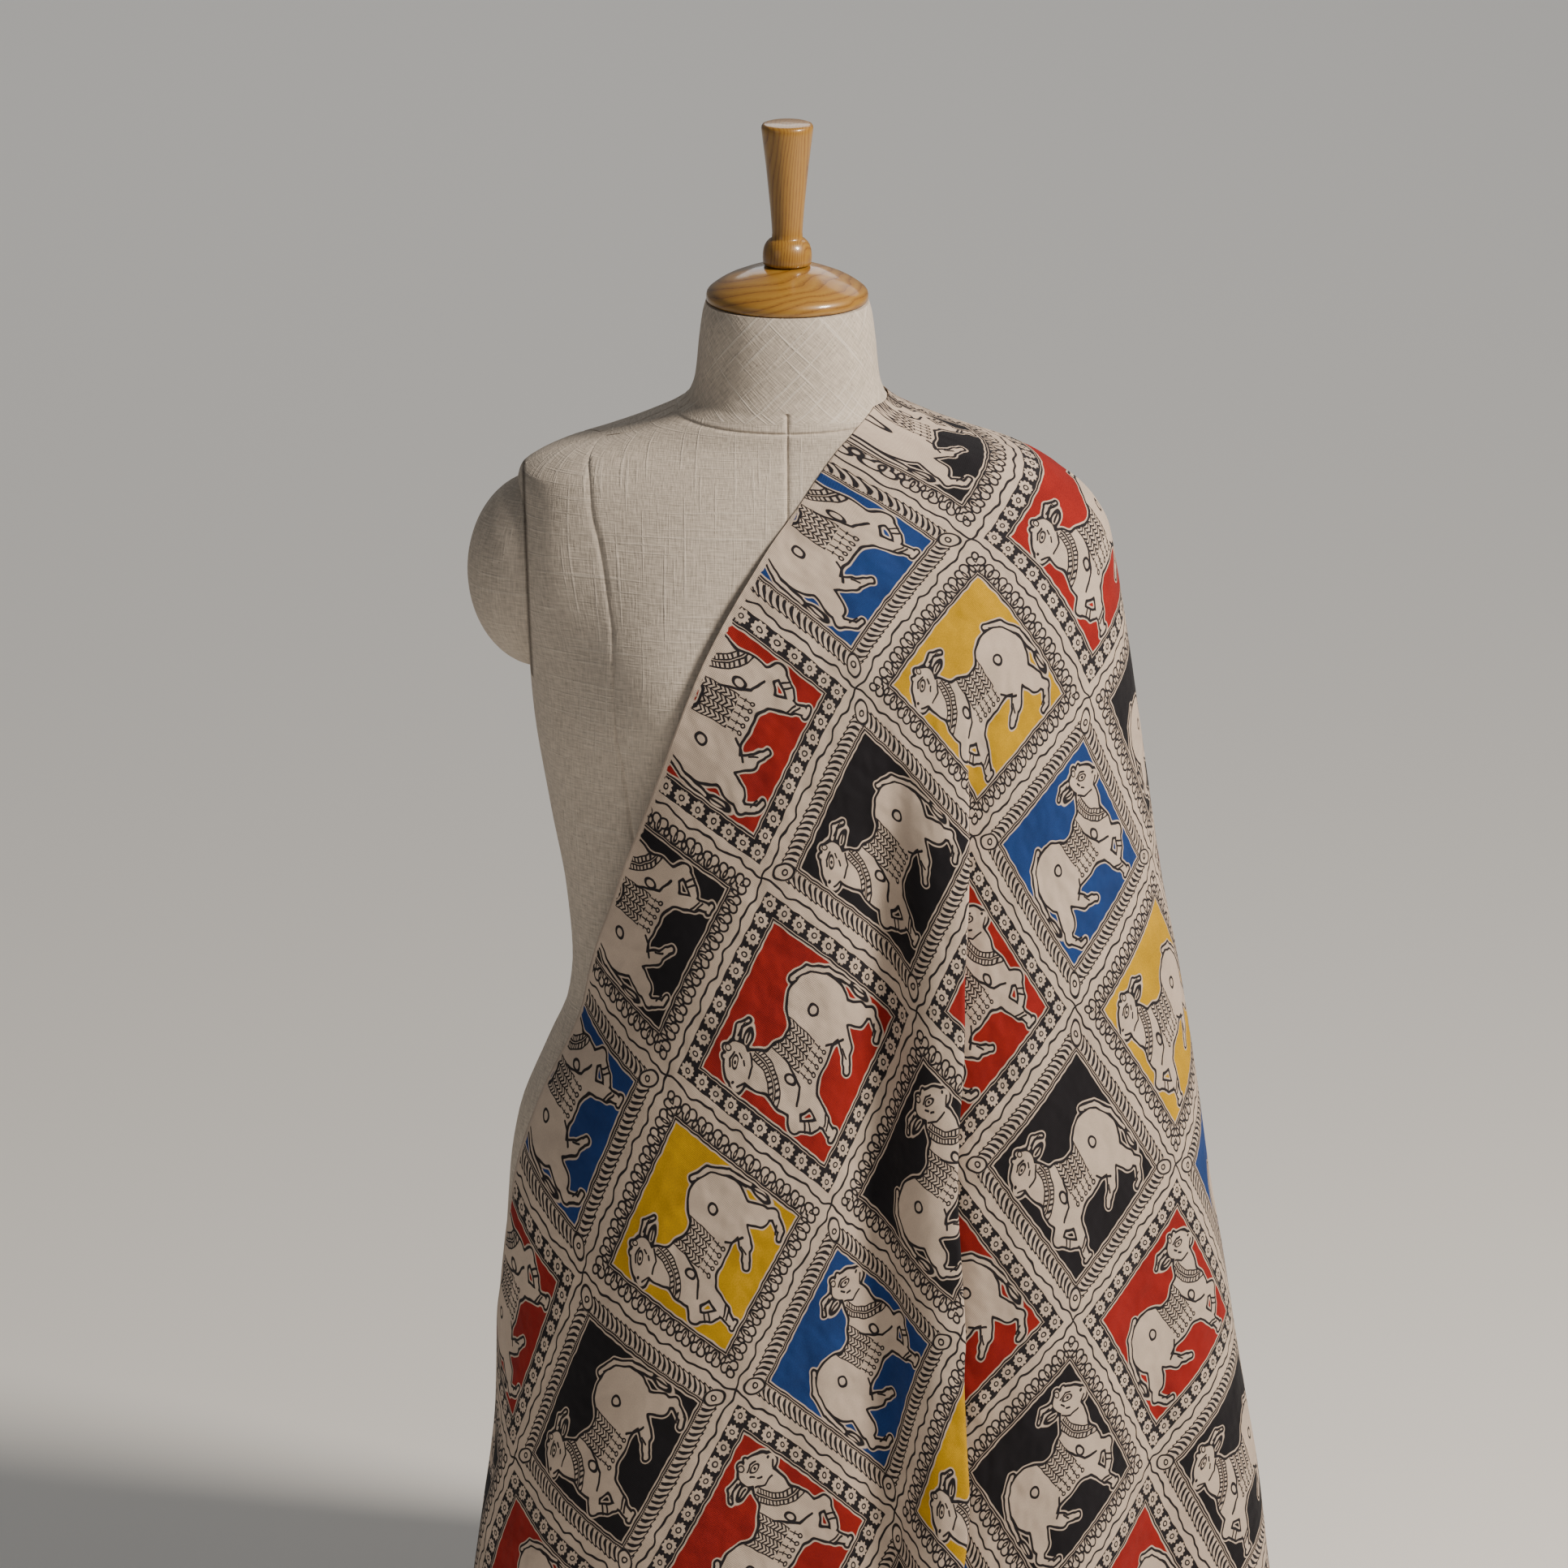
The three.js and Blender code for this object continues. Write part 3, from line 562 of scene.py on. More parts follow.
def settle_flat(points, flat, rounds, steps):
    """Moves a flat layout until every small patch keeps its true size, as-rigid-as-possible.

    The tiny numbers in it keep an empty patch from dividing by nothing.
    """
    near, far = slice(0, -1), slice(1, None)
    corners = ((near, near), (near, far), (far, near), (far, far))
    a, b, c, d = (points[place] for place in corners)
    along = (b - a) + (d - c)
    normal = np.cross(along, (c - a) + (d - b))
    normal /= np.linalg.norm(normal, axis=-1, keepdims=True) + 1e-12
    along /= np.linalg.norm(along, axis=-1, keepdims=True) + 1e-12
    down = np.cross(normal, along)
    area = np.linalg.norm(np.cross(b - a, c - a), axis=-1)
    area += np.linalg.norm(np.cross(b - d, c - d), axis=-1)
    links = []
    for first, last in ((0, 1), (2, 3), (0, 2), (1, 3), (0, 3), (1, 2)):
        edge = points[corners[last]] - points[corners[first]]
        local = np.stack([(edge * down).sum(-1), (edge * along).sum(-1)], -1)
        length = np.linalg.norm(edge, axis=-1)
        local *= (length / (np.linalg.norm(local, axis=-1) + 1e-9))[..., None]
        weight = np.clip(area / ((local**2).sum(-1) + 1e-6), 1e-3, 50)
        links.append((corners[first], corners[last], weight, local))
    total = np.zeros(points.shape[:2])
    for first, last, weight, _ in links:
        total[first] += weight
        total[last] += weight
    total = total[..., None]
    free = np.ones_like(total)
    free[:, 0] = 0

    def pull(layout):
        out = np.zeros_like(layout)
        for first, last, weight, _ in links:
            force = (layout[last] - layout[first]) * weight[..., None]
            out[last] += force
            out[first] -= force
        return out

    for _ in range(rounds):
        cosine = np.zeros_like(area)
        sine = np.zeros_like(area)
        for first, last, weight, local in links:
            edge = flat[last] - flat[first]
            cosine += weight * (edge * local).sum(-1)
            sine += weight * (edge[..., 1] * local[..., 0] - edge[..., 0] * local[..., 1])
        size = np.hypot(cosine, sine) + 1e-12
        cosine /= size
        sine /= size
        wanted = np.zeros_like(flat)
        for first, last, weight, local in links:
            turned_u = cosine * local[..., 0] - sine * local[..., 1]
            turned_v = sine * local[..., 0] + cosine * local[..., 1]
            edge = np.stack([turned_u, turned_v], -1) * weight[..., None]
            wanted[last] += edge
            wanted[first] -= edge
        rest = (wanted - pull(flat)) * free
        eased = rest / total
        way = eased.copy()
        power = (rest * eased).sum()
        for _ in range(steps):
            pulled = pull(way) * free
            stride = power / ((way * pulled).sum() + 1e-30)
            flat = flat + stride * way
            rest -= stride * pulled
            eased = rest / total
            new_power = (rest * eased).sum()
            way = eased + new_power / (power + 1e-30) * way
            power = new_power
    return flat


def between(values, rows, columns):
    """Values of a coarse grid at finer rows and columns, between its points."""
    row = np.minimum(rows.astype(int), len(values) - 2)
    column_at = np.minimum(columns.astype(int), values.shape[1] - 2)
    down = (rows - row)[:, None, None]
    right = (columns - column_at)[None, :, None]
    a = values[np.ix_(row, column_at)]
    b = values[np.ix_(row, column_at + 1)]
    c = values[np.ix_(row + 1, column_at)]
    d = values[np.ix_(row + 1, column_at + 1)]
    return (a * (1 - right) + b * right) * (1 - down) + (c * (1 - right) + d * right) * down


def flatten(points):
    """The sheet laid flat in mm: U down its long front edge, V away from that edge."""
    rows, columns = points.shape[:2]
    few_rows = np.unique(np.append(np.arange(0, rows, 2), rows - 1))
    few_columns = np.unique(np.append(np.arange(0, columns, 2), columns - 1))
    few = points[np.ix_(few_rows, few_columns)]
    flat = settle_flat(few, fan_out(few), *COARSE_ROUNDS)
    at_rows = np.interp(np.arange(rows), few_rows, np.arange(len(few_rows)))
    at_columns = np.interp(np.arange(columns), few_columns, np.arange(len(few_columns)))
    return settle_flat(points, between(flat, at_rows, at_columns), *FINE_ROUNDS)


def to_picture(points):
    """Where points in mm show in the photograph, in its own pixels, and how near they are."""
    pitch = math.radians(CAMERA_PITCH)
    ahead = np.array([0, math.cos(pitch), -math.sin(pitch)])
    up = np.array([0, math.sin(pitch), math.cos(pitch)])
    away = points - np.array(AIM)
    depth = CAMERA_DISTANCE + away @ ahead
    scale = PHOTO_SIZE / PICTURE_WIDTH * CAMERA_DISTANCE / depth
    return PHOTO_SIZE / 2 + away[..., 0] * scale, PHOTO_SIZE / 2 - (away @ up) * scale, depth


def set_print(points, flat):
    """Eases the flat layout so that the print's crossing lines fall where they show."""
    across, down, depth = to_picture(points)
    first, last = (COLUMNS["before"] + round(COLUMNS["tuck"] * share) for share in UNDER_LIP)
    depth[:, first:last] += np.where(points[:, first:last, 2] < UNDER_TOP, UNDER_PUSH, 0)
    found = []
    wanted = []
    for print_column, print_row, x, y in CROSSINGS:
        off = np.hypot(across - x, down - y)
        front = depth[off < NEAR_PIXELS].min()
        off = np.where(depth < front + LAYER_DEPTH, off, FAR)
        found.append(flat[np.unravel_index(off.argmin(), off.shape)])
        wanted.append((PRINT_START[0] + PITCH * print_row, PRINT_START[1] + PITCH * print_column))
    found = np.array(found)
    wanted = np.array(wanted)
    shift, turn = affine_fit(found, wanted)
    left = wanted - (found @ turn + shift)
    close = bell(np.linalg.norm(found[:, None] - found[None], axis=2) / PULL_REACH)
    pull = np.linalg.solve(close + PULL_EASE * np.eye(len(found)), left)
    spread = bell(np.linalg.norm(flat[..., None, :] - found, axis=-1) / PULL_REACH)
    eased = flat @ turn + shift + spread @ pull
    inside = smooth_step(flat[..., 1] / EDGE_STRIP)
    eased[..., 1] = flat[..., 1] * (1 - inside) + eased[..., 1] * inside
    return eased


def affine_fit(found, wanted):
    """The even stretch and shift that takes the found places nearest to the wanted ones."""
    table = np.column_stack([found, np.ones(len(found))])
    answer = np.linalg.lstsq(table, wanted, rcond=None)[0]
    return answer[2], answer[:2]


def apply_modifiers(piece):
    bpy.context.view_layer.objects.active = piece
    for modifier in list(piece.modifiers):
        bpy.ops.object.modifier_apply(modifier=modifier.name)


def make_cloth():
    points = np.array([cloth_line(z) for z in cloth_heights()])
    flat = flatten(points)
    cloth = grid_piece("printed_cloth", points, set_print(points, flat))
    sheet = cloth.modifiers.new("thickness", "SOLIDIFY")
    sheet.thickness = CLOTH_THICKNESS * MM
    sheet.offset = 0
    apply_modifiers(cloth)
    return cloth, flat


def sheet_area(flat):
    """The flat sheet's area in square metres."""
    a = flat[:-1, 1:] - flat[:-1, :-1]
    b = flat[1:, :-1] - flat[:-1, :-1]
    c = flat[:-1, 1:] - flat[1:, 1:]
    d = flat[1:, :-1] - flat[1:, 1:]
    near = np.abs(a[..., 0] * b[..., 1] - a[..., 1] * b[..., 0])
    far = np.abs(c[..., 0] * d[..., 1] - c[..., 1] * d[..., 0])
    return (near + far).sum() / 2 * MM * MM


def form_heights():
    """Heights of the form from its base to its neck, closest at the neck's seam."""
    parts = [np.linspace(low, high, rows, endpoint=False) for low, high, rows in FORM_ROWS]
    return np.concatenate([*parts, np.linspace(FORM_ROWS[-1][1], NECK_TOP, NECK_ROWS)])


def seam_turns(z):
    """The turns of the form's eight upright seams at a height, from centre back round to it."""
    turn = np.linspace(-math.pi / 2, 0, SEAM_STEPS)
    princess = np.interp(-princess_across(z), form_reach(z, turn) * np.sin(turn), turn)
    side = math.pi / 2
    return (-math.pi, -math.pi - princess, -side, princess, 0, -princess, side,
            math.pi + princess, math.pi)


def form_line(z):
    """One level line of the form, with its columns closest at the seams, sunk along each."""
    share = (1 - np.cos(np.linspace(0, math.pi, PANEL_COLUMNS + 1))) / 2
    turns = seam_turns(z)
    turn = np.concatenate([
        start + (end - start) * share[:-1] for start, end in zip(turns[:-1], turns[1:])
    ] + [[math.pi]])
    reach = form_reach(z, turn)
    seam = np.zeros_like(turn)
    for middle in turns:
        seam = np.maximum(seam, bell((turn - middle) * reach / SEAM["wide"]))
    if z > NECK_SEAM["side"] + NECK_SEAM["dip"]:
        seam *= 0
    neck_seam = NECK_SEAM["side"] - NECK_SEAM["dip"] * np.cos(turn)
    seam = np.maximum(seam, bell((z - neck_seam) / SEAM["wide"]))
    reach = reach - SEAM["deep"] * seam + armhole_plate(z, turn)
    return np.column_stack([reach * np.sin(turn), -reach * np.cos(turn), np.full_like(turn, z)])


def weave_line(line):
    """Where a level line of the form lies on its cloth: round it from the front, and down it."""
    z = line[0, 2]
    turn = np.linspace(-math.pi, math.pi, TURN_STEPS)
    reach = form_reach(z, turn)
    ring = np.column_stack([reach * np.sin(turn), -reach * np.cos(turn)])
    along = np.concatenate([[0], np.cumsum(np.linalg.norm(np.diff(ring, axis=0), axis=1))])
    place = np.arctan2(line[:, 0], -line[:, 1])
    place[0] = -math.pi
    place[-1] = math.pi
    across = np.interp(place, turn, along) - along[len(along) // 2]
    bent = smooth_step((z - SHOULDER_BEND["from"]) / SHOULDER_BEND["over"])
    return np.column_stack([across, np.full_like(across, -z - SHOULDER_FALL * bent)])


def armhole_plate(z, turn):
    """How far the form squares out before and behind the bare arm, so its seam hangs straight."""
    before = bell((np.degrees(turn) + 90 - PLATE["turn"]) / PLATE["wide"])
    behind = bell((np.degrees(turn) + 90 + PLATE["turn"]) / PLATE["wide"])
    return PLATE["out"] * (before + behind) * bell((z - PLATE["height"]) / PLATE["tall"])


def make_torso():
    points = np.array([form_line(z) for z in form_heights()[::-1]])
    torso = grid_piece("linen_torso", points, np.array([weave_line(line) for line in points]))
    bpy.ops.object.mode_set(mode="EDIT")
    bpy.ops.mesh.select_all(action="SELECT")
    bpy.ops.mesh.remove_doubles(threshold=MERGE * MM)
    bpy.ops.mesh.fill_holes(sides=0)
    bpy.ops.object.mode_set(mode="OBJECT")
    bpy.ops.object.shade_smooth_by_angle(angle=math.radians(FORM_CREASE))
    return torso


def make_arm(name, side):
    """A linen arm stump: a ball pressed oval, with its inner half inside the form."""
    deselect()
    place = (side * ARM["across"] * MM, 0, ARM["height"] * MM)
    bpy.ops.mesh.primitive_uv_sphere_add(segments=ROUND_FACES, ring_count=ARM_RINGS, radius=1,
                                         location=place)
    arm = bpy.context.object
    arm.name = arm.data.name = name
    arm.scale = (ARM["reach"] * MM, ARM["deep"] * MM, ARM["tall"] * MM)
    layer = arm.data.uv_layers[0]
    layer.name = "Weave"
    for corner in layer.uv:
        corner.vector = (corner.vector.x * ARM_WEAVE[0] * MM, corner.vector.y * ARM_WEAVE[1] * MM)
    bpy.ops.object.transform_apply(location=True, rotation=True, scale=True)
    bpy.ops.object.shade_smooth()
    return arm


def turned_piece(name, profile, crease):
    """A turned piece: a disc pulled up ring by ring along its profile of radius and height in mm."""
    deselect()
    first_radius, first_height = profile[0]
    place = (0, 0, first_height * MM)
    bpy.ops.mesh.primitive_circle_add(vertices=ROUND_FACES, radius=first_radius * MM,
                                      fill_type="NGON", location=place)
    piece = bpy.context.object
    piece.name = piece.data.name = name
    bpy.ops.object.transform_apply(location=True, rotation=True, scale=True)
    bpy.ops.object.mode_set(mode="EDIT")
    bpy.ops.mesh.select_all(action="SELECT")
    radius, height = first_radius, first_height
    for next_radius, next_height in profile[1:]:
        lift = (0, 0, (next_height - height) * MM)
        bpy.ops.mesh.extrude_region_move(TRANSFORM_OT_translate={"value": lift})
        size = next_radius / radius
        bpy.ops.transform.resize(value=(size, size, 1), center_override=(0, 0, next_height * MM))
        radius, height = next_radius, next_height
    bpy.ops.mesh.select_all(action="SELECT")
    bpy.ops.mesh.normals_make_consistent(inside=False)
    bpy.ops.object.mode_set(mode="OBJECT")
    bpy.ops.object.shade_smooth_by_angle(angle=math.radians(crease))
    return piece


def make_camera():
    pitch = math.radians(CAMERA_PITCH)
    away = CAMERA_DISTANCE * MM
    place = (AIM[0] * MM, AIM[1] * MM - away * math.cos(pitch), AIM[2] * MM + away * math.sin(pitch))
    bpy.ops.object.camera_add(location=place, rotation=(math.pi / 2 - pitch, 0, 0))
    camera = bpy.context.object
    camera.data.sensor_width = SENSOR
    camera.data.lens = SENSOR * CAMERA_DISTANCE / PICTURE_WIDTH
    bpy.context.scene.camera = camera


def colour(text):
    """An sRGB hex colour as linear red, green, blue and one."""
    values = [int(text[i:i + 2], 16) / 255 for i in (0, 2, 4)]
    linear = [v / 12.92 if v <= 0.04045 else ((v + 0.055) / 1.055) ** 2.4 for v in values]
    return (*linear, 1)


def feed(tree, socket, value):
    """Links a node, or a node with the name of its output, to a socket, or sets the socket."""
    if isinstance(value, bpy.types.Node):
        tree.links.new(next(out for out in value.outputs if out.enabled), socket)
    elif isinstance(value, tuple) and isinstance(value[0], bpy.types.Node):
        tree.links.new(value[0].outputs[value[1]], socket)
    elif value is not None:
        socket.default_value = value


def add_node(tree, kind, *inputs, **settings):
    """Adds a node with its settings, and feeds its inputs in order.

    A kind in capitals is a math node's operation. An input is a number, a colour, a node, a node
    with the name of its output, or None to leave it as it is.
    """
    node = tree.nodes.new("ShaderNodeMath" if kind.isupper() else "ShaderNode" + kind)
    if kind.isupper():
        node.operation = kind
    for key, value in settings.items():
        setattr(node, key, value)
    sockets = [socket for socket in node.inputs if socket.enabled]
    for socket, value in zip(sockets, inputs):
        feed(tree, socket, value)
    return node


def new_material(name):
    """A named material, and put, which adds nodes to it and is handed to all that draw on it."""
    material = bpy.data.materials.new(name)
    material.use_nodes = True
    return material, partial(add_node, material.node_tree)


def finish_surface(material, **looks):
    """Feeds the inputs of a material's Principled surface, each by its name with low lines."""
    tree = material.node_tree
    for name, value in looks.items():
        feed(tree, tree.nodes["Principled BSDF"].inputs[name.replace("_", " ")], value)
    return material


def nearest(put, parts, soft=0):
    """The smallest of several distances, rounded together where soft is over nothing."""
    found = parts[0]
    for part in parts[1:]:
        if soft:
            found = put("SMOOTH_MIN", found, part, soft)
        else:
            found = put("MINIMUM", found, part)
    return found


def furthest(put, *parts):
    """The largest of several distances: what lies inside all of the shapes."""
    found = parts[0]
    for part in parts[1:]:
        found = put("MAXIMUM", found, part)
    return found


def oval(put, at, middle, half, turn):
    """How far a place lies outside an oval, in the drawing's units, as are all distances here."""
    wide, tall = half
    cosine, sine = math.cos(math.radians(turn)), math.sin(math.radians(turn))
    along = (cosine * middle[0] + sine * middle[1]) / wide
    up = (cosine * middle[1] - sine * middle[0]) / tall
    if turn:
        first = put("VectorMath", at, (cosine / wide, sine / wide, 0), operation="DOT_PRODUCT")
        second = put("VectorMath", at, (-sine / tall, cosine / tall, 0), operation="DOT_PRODUCT")
        placed = put("CombineXYZ", first, second, 0)
    else:
        placed = put("VectorMath", at, (1 / wide, 1 / tall, 0), operation="MULTIPLY")
    reach = put("VectorMath", placed, (along, up, 0), operation="DISTANCE")
    return put("MULTIPLY_ADD", reach, min(half), -min(half))


def stroke(put, at, start, end):
    """How far a place lies from a straight line between two points."""
    way = (end[0] - start[0], end[1] - start[1], 0)
    square = way[0] ** 2 + way[1] ** 2
    back = (way[0] / square, way[1] / square, 0)
    share = put("VectorMath", at, back, operation="DOT_PRODUCT")
    before = -(start[0] * back[0] + start[1] * back[1])
    share = put("ADD", share, before, use_clamp=True)
    beside = put("VectorMath", share, (-way[0], -way[1], 0), at, operation="MULTIPLY_ADD")
    return put("VectorMath", beside, (*start, 0), operation="DISTANCE")


def inked_lines(put, at, lines, thick):
    """The distance outside lines of one thickness, each through its points."""
    parts = [stroke(put, at, a, b) for points in lines for a, b in zip(points[:-1], points[1:])]
    return put("SUBTRACT", nearest(put, parts), thick)


def outline(put, distance, thick, outside=0):
    """A line on a shape's edge, or some way outside it; thick is half of its thickness."""
    if outside:
        distance = put("SUBTRACT", distance, outside)
    return put("SUBTRACT", put("ABSOLUTE", distance), thick)


def wave(put, value, size, length):
    """A gentle wave of a size and a length."""
    turned = put("MULTIPLY", value, 2 * math.pi / length)
    return put("MULTIPLY", put("SINE", turned), size)


def draw_bull(put, at, x, y):
    """The bull: the distance outside its outline, and the distance from its inked lines."""
    body_rounding, head_rounding, joint_rounding = BULL_ROUNDING
    body = nearest(put, [oval(put, at, *part) for part in BULL_BODY], body_rounding)
    limbs = [
        put("SUBTRACT", stroke(put, at, start, end), thick) for start, end, thick in BULL_LIMBS
    ]
    head = nearest(put, [oval(put, at, *part) for part in BULL_HEAD] + limbs, head_rounding)
    whole = put("SMOOTH_MIN", body, head, joint_rounding)
    ink = [outline(put, whole, BULL_EDGE)]
    for thick in sorted({thick for _, thick in BULL_LINES}):
        ink.append(inked_lines(put, at, [line for line, wide in BULL_LINES if wide == thick], thick))
    for middle, half, turn, thick in BULL_RINGS:
        ink.append(outline(put, oval(put, at, middle, half, turn), thick))

    # Two beaded neck bands, on circles about the muzzle.
    reach = oval(put, at, NECK_BANDS["about"], (1, 1), 0)
    for radius in NECK_BANDS["radii"]:
        band = put("SUBTRACT", reach, radius)
        slant = put("MULTIPLY_ADD", reach, NECK_BANDS["slant"], y)
        beads = put("SUBTRACT", put("PINGPONG", slant, NECK_BANDS["bead"]), 0.5)
        edges = outline(put, outline(put, band, NECK_BANDS["edge"]), 0.5)
        inside = put("MINIMUM", edges, beads)
        low = put("SUBTRACT", y, NECK_BANDS["top"])
        ink.append(furthest(put, inside, outline(put, band, NECK_BANDS["half"]), low, whole))

    # The saddle cloth: four columns of chevrons, then tassels that end in rings.
    along = put("MULTIPLY_ADD", y, SADDLE["lean"], put("SUBTRACT", x, SADDLE["middle"]))
    side = put("PINGPONG", put("ADD", along, SADDLE["start"]), SADDLE["column"])
    slant = put("MULTIPLY_ADD", side, SADDLE["steep"], y)
    chevron = put("SUBTRACT", put("PINGPONG", slant, SADDLE["chevron"]), 0.7)
    weave = put("MINIMUM", chevron, put("SUBTRACT", side, 0.4))
    foot = put("SUBTRACT", SADDLE["foot"], y)
    ink.append(furthest(put, weave, outline(put, along, SADDLE["half"]), foot, whole))
    row = put("FLOORED_MODULO", put("ADD", along, TASSELS["half"]), TASSELS["pitch"])
    step = put("SUBTRACT", row, TASSELS["pitch"] / 2)
    low = put("SUBTRACT", y, TASSELS["ring_at"])
    squares = put("ADD", put("POWER", step, 2), put("POWER", low, 2))
    ring = outline(put, put("SQRT", squares), 0.52, TASSELS["ring"])
    lowest, highest = TASSELS["string"]
    string = furthest(put, outline(put, step, 0.48), put("SUBTRACT", lowest, y),
                      put("SUBTRACT", y, highest))
    bar = furthest(put, outline(put, y, 0.45, TASSELS["bar_at"]), outline(put, step, TASSELS["bar"]))
    tassels = nearest(put, [ring, string, bar])
    ink.append(furthest(put, tassels, outline(put, along, TASSELS["half"])))
    return whole, nearest(put, ink)


def draw_border(put, x, y, kind):
    """The frame lines and the ornament about a square: the distance from their ink."""
    across = put("ABSOLUTE", x)
    up = put("ABSOLUTE", y)
    out = put("SUBTRACT", put("MAXIMUM", across, up), SQUARE_HALF)
    along = put("MINIMUM", across, up)
    lines = [outline(put, out, thick, far) for far, thick in FRAME_LINES]
    lines[2] = furthest(put, lines[2], put("SUBTRACT", put("PINGPONG", along, TICK), 0.3))

    # Flowers: cream petals on a black band, with one at each corner.
    pitch = (SQUARE_HALF + FLOWERS["out"]) / FLOWERS["steps"]
    row = put("FLOORED_MODULO", put("ADD", along, pitch / 2), pitch)
    flower_at = put("CombineXYZ", put("SUBTRACT", row, pitch / 2),
                    put("SUBTRACT", out, FLOWERS["out"]), 0)
    reach = put("VectorMath", flower_at, operation="LENGTH")
    from_middle = put("SeparateXYZ", flower_at)
    angle = put("ARCTAN2", (from_middle, "Y"), (from_middle, "X"))
    notches = put("COSINE", put("MULTIPLY", angle, FLOWERS["petals"]))
    petals = put("MULTIPLY_ADD", notches, FLOWERS["notch"], FLOWERS["reach"])
    between_petals = put("SUBTRACT", petals, reach)
    band = outline(put, out, FLOWERS["band"], FLOWERS["out"])
    heart = outline(put, reach, 0.5, FLOWERS["heart"])
    flowers = put("MINIMUM", put("MAXIMUM", between_petals, band), heart)

    # Rope: leaning crescents between the combed line and a scalloped edge, and a leaf at each corner.
    flip = put("GREATER_THAN", across, up)
    turned = put("MULTIPLY", put("MULTIPLY", y, put("SIGN", x)), -1)
    straight = put("MULTIPLY", x, put("SIGN", y))
    round_way = put("Mix", flip, straight, turned, data_type="FLOAT")
    height = put("DIVIDE", put("SUBTRACT", out, ROPE["from"]), ROPE["deep"])
    swell = put("MULTIPLY", height, put("SUBTRACT", 1, height))
    bow = put("MULTIPLY", swell, -ROPE["bow"])
    lean = put("MULTIPLY_ADD", height, ROPE["lean"], put("ADD", round_way, bow))
    near = put("PINGPONG", lean, ROPE["half_pitch"])
    from_middle = put("ABSOLUTE", put("SUBTRACT", height, ROPE["middle"]))
    thin = put("MULTIPLY_ADD", from_middle, -1, ROPE["thick"])
    crescent = put("SUBTRACT", put("MULTIPLY", near, ROPE["steep"]), thin)
    scallop = put("PINGPONG", put("ADD", lean, 1), ROPE["half_pitch"])
    edge = put("MULTIPLY_ADD", scallop, ROPE["scallop"], ROPE["edge"])
    past_edge = put("SUBTRACT", out, edge)
    crescents = furthest(put, crescent, past_edge, put("SUBTRACT", ROPE["from"], out))
    corner = put("CombineXYZ", across, up, 0)
    leaf, seed = (
        oval(put, corner, (SQUARE_HALF + ROPE[part][0],) * 2, ROPE[part][1], turn)
        for part, turn in (("leaf", 45), ("seed", 0))
    )
    rope = put("MAXIMUM", put("MINIMUM", outline(put, past_edge, 0.55), crescents),
               put("SUBTRACT", 0.6, leaf))
    rope = nearest(put, [rope, outline(put, leaf, 0.65), outline(put, seed, 0.6)])

    # Scallops: hearts in a row, with a small loop between them.
    pitch = (SQUARE_HALF + SCALLOPS["out"]) / SCALLOPS["steps"]
    row = put("FLOORED_MODULO", along, pitch)
    side = put("ABSOLUTE", put("SUBTRACT", row, pitch / 2))
    place = put("CombineXYZ", side, out, 0)
    lobe, stem, drop = (oval(put, place, *SCALLOPS[part], 0) for part in ("lobe", "stem", "drop"))
    loop_out, loop_half = SCALLOPS["loop"]
    loop = oval(put, place, (pitch / 2, loop_out), loop_half, 0)
    hearts = outline(put, put("SMOOTH_MIN", lobe, stem, 1), 0.68)
    scallops = nearest(put, [hearts, outline(put, loop, 0.55), outline(put, drop, 0.5)])

    ornaments = [
        put("MULTIPLY_ADD", put("SUBTRACT", 1, (kind, channel)), NOT_HERE, shape)
        for channel, shape in (("Red", rope), ("Green", scallops), ("Blue", flowers))
    ]
    within = put("SUBTRACT", FRAME_START, out)
    return out, put("MAXIMUM", nearest(put, lines + ornaments), within)


def constant_ramp(put, value, colours):
    """Steps of colour, one for each whole number from nothing."""
    count = len(colours)
    place = put("DIVIDE", put("ADD", value, 0.5), count)
    ramp = put("ValToRGB", place)
    ramp.color_ramp.interpolation = "CONSTANT"
    while len(ramp.color_ramp.elements) < count:
        ramp.color_ramp.elements.new(0.5)
    for i, step in enumerate(colours):
        ramp.color_ramp.elements[i].position = i / count
        ramp.color_ramp.elements[i].color = step
    return ramp


def coverage(put, distance):
    """One inside a shape and nothing outside, with an edge as soft as ink on cotton."""
    return put("MULTIPLY_ADD", distance, -1 / INK_EDGE, 0.5, use_clamp=True)


def uneven(put, stain, clouds, specks, tone):
    """A colour made stronger and weaker by clouds and specks."""
    by_clouds, by_specks, plain = tone
    depth = put("MULTIPLY_ADD", specks, by_specks, put("MULTIPLY_ADD", clouds, by_clouds, plain))
    return put("Mix", 1.0, stain, depth, data_type="RGBA", blend_type="MULTIPLY")


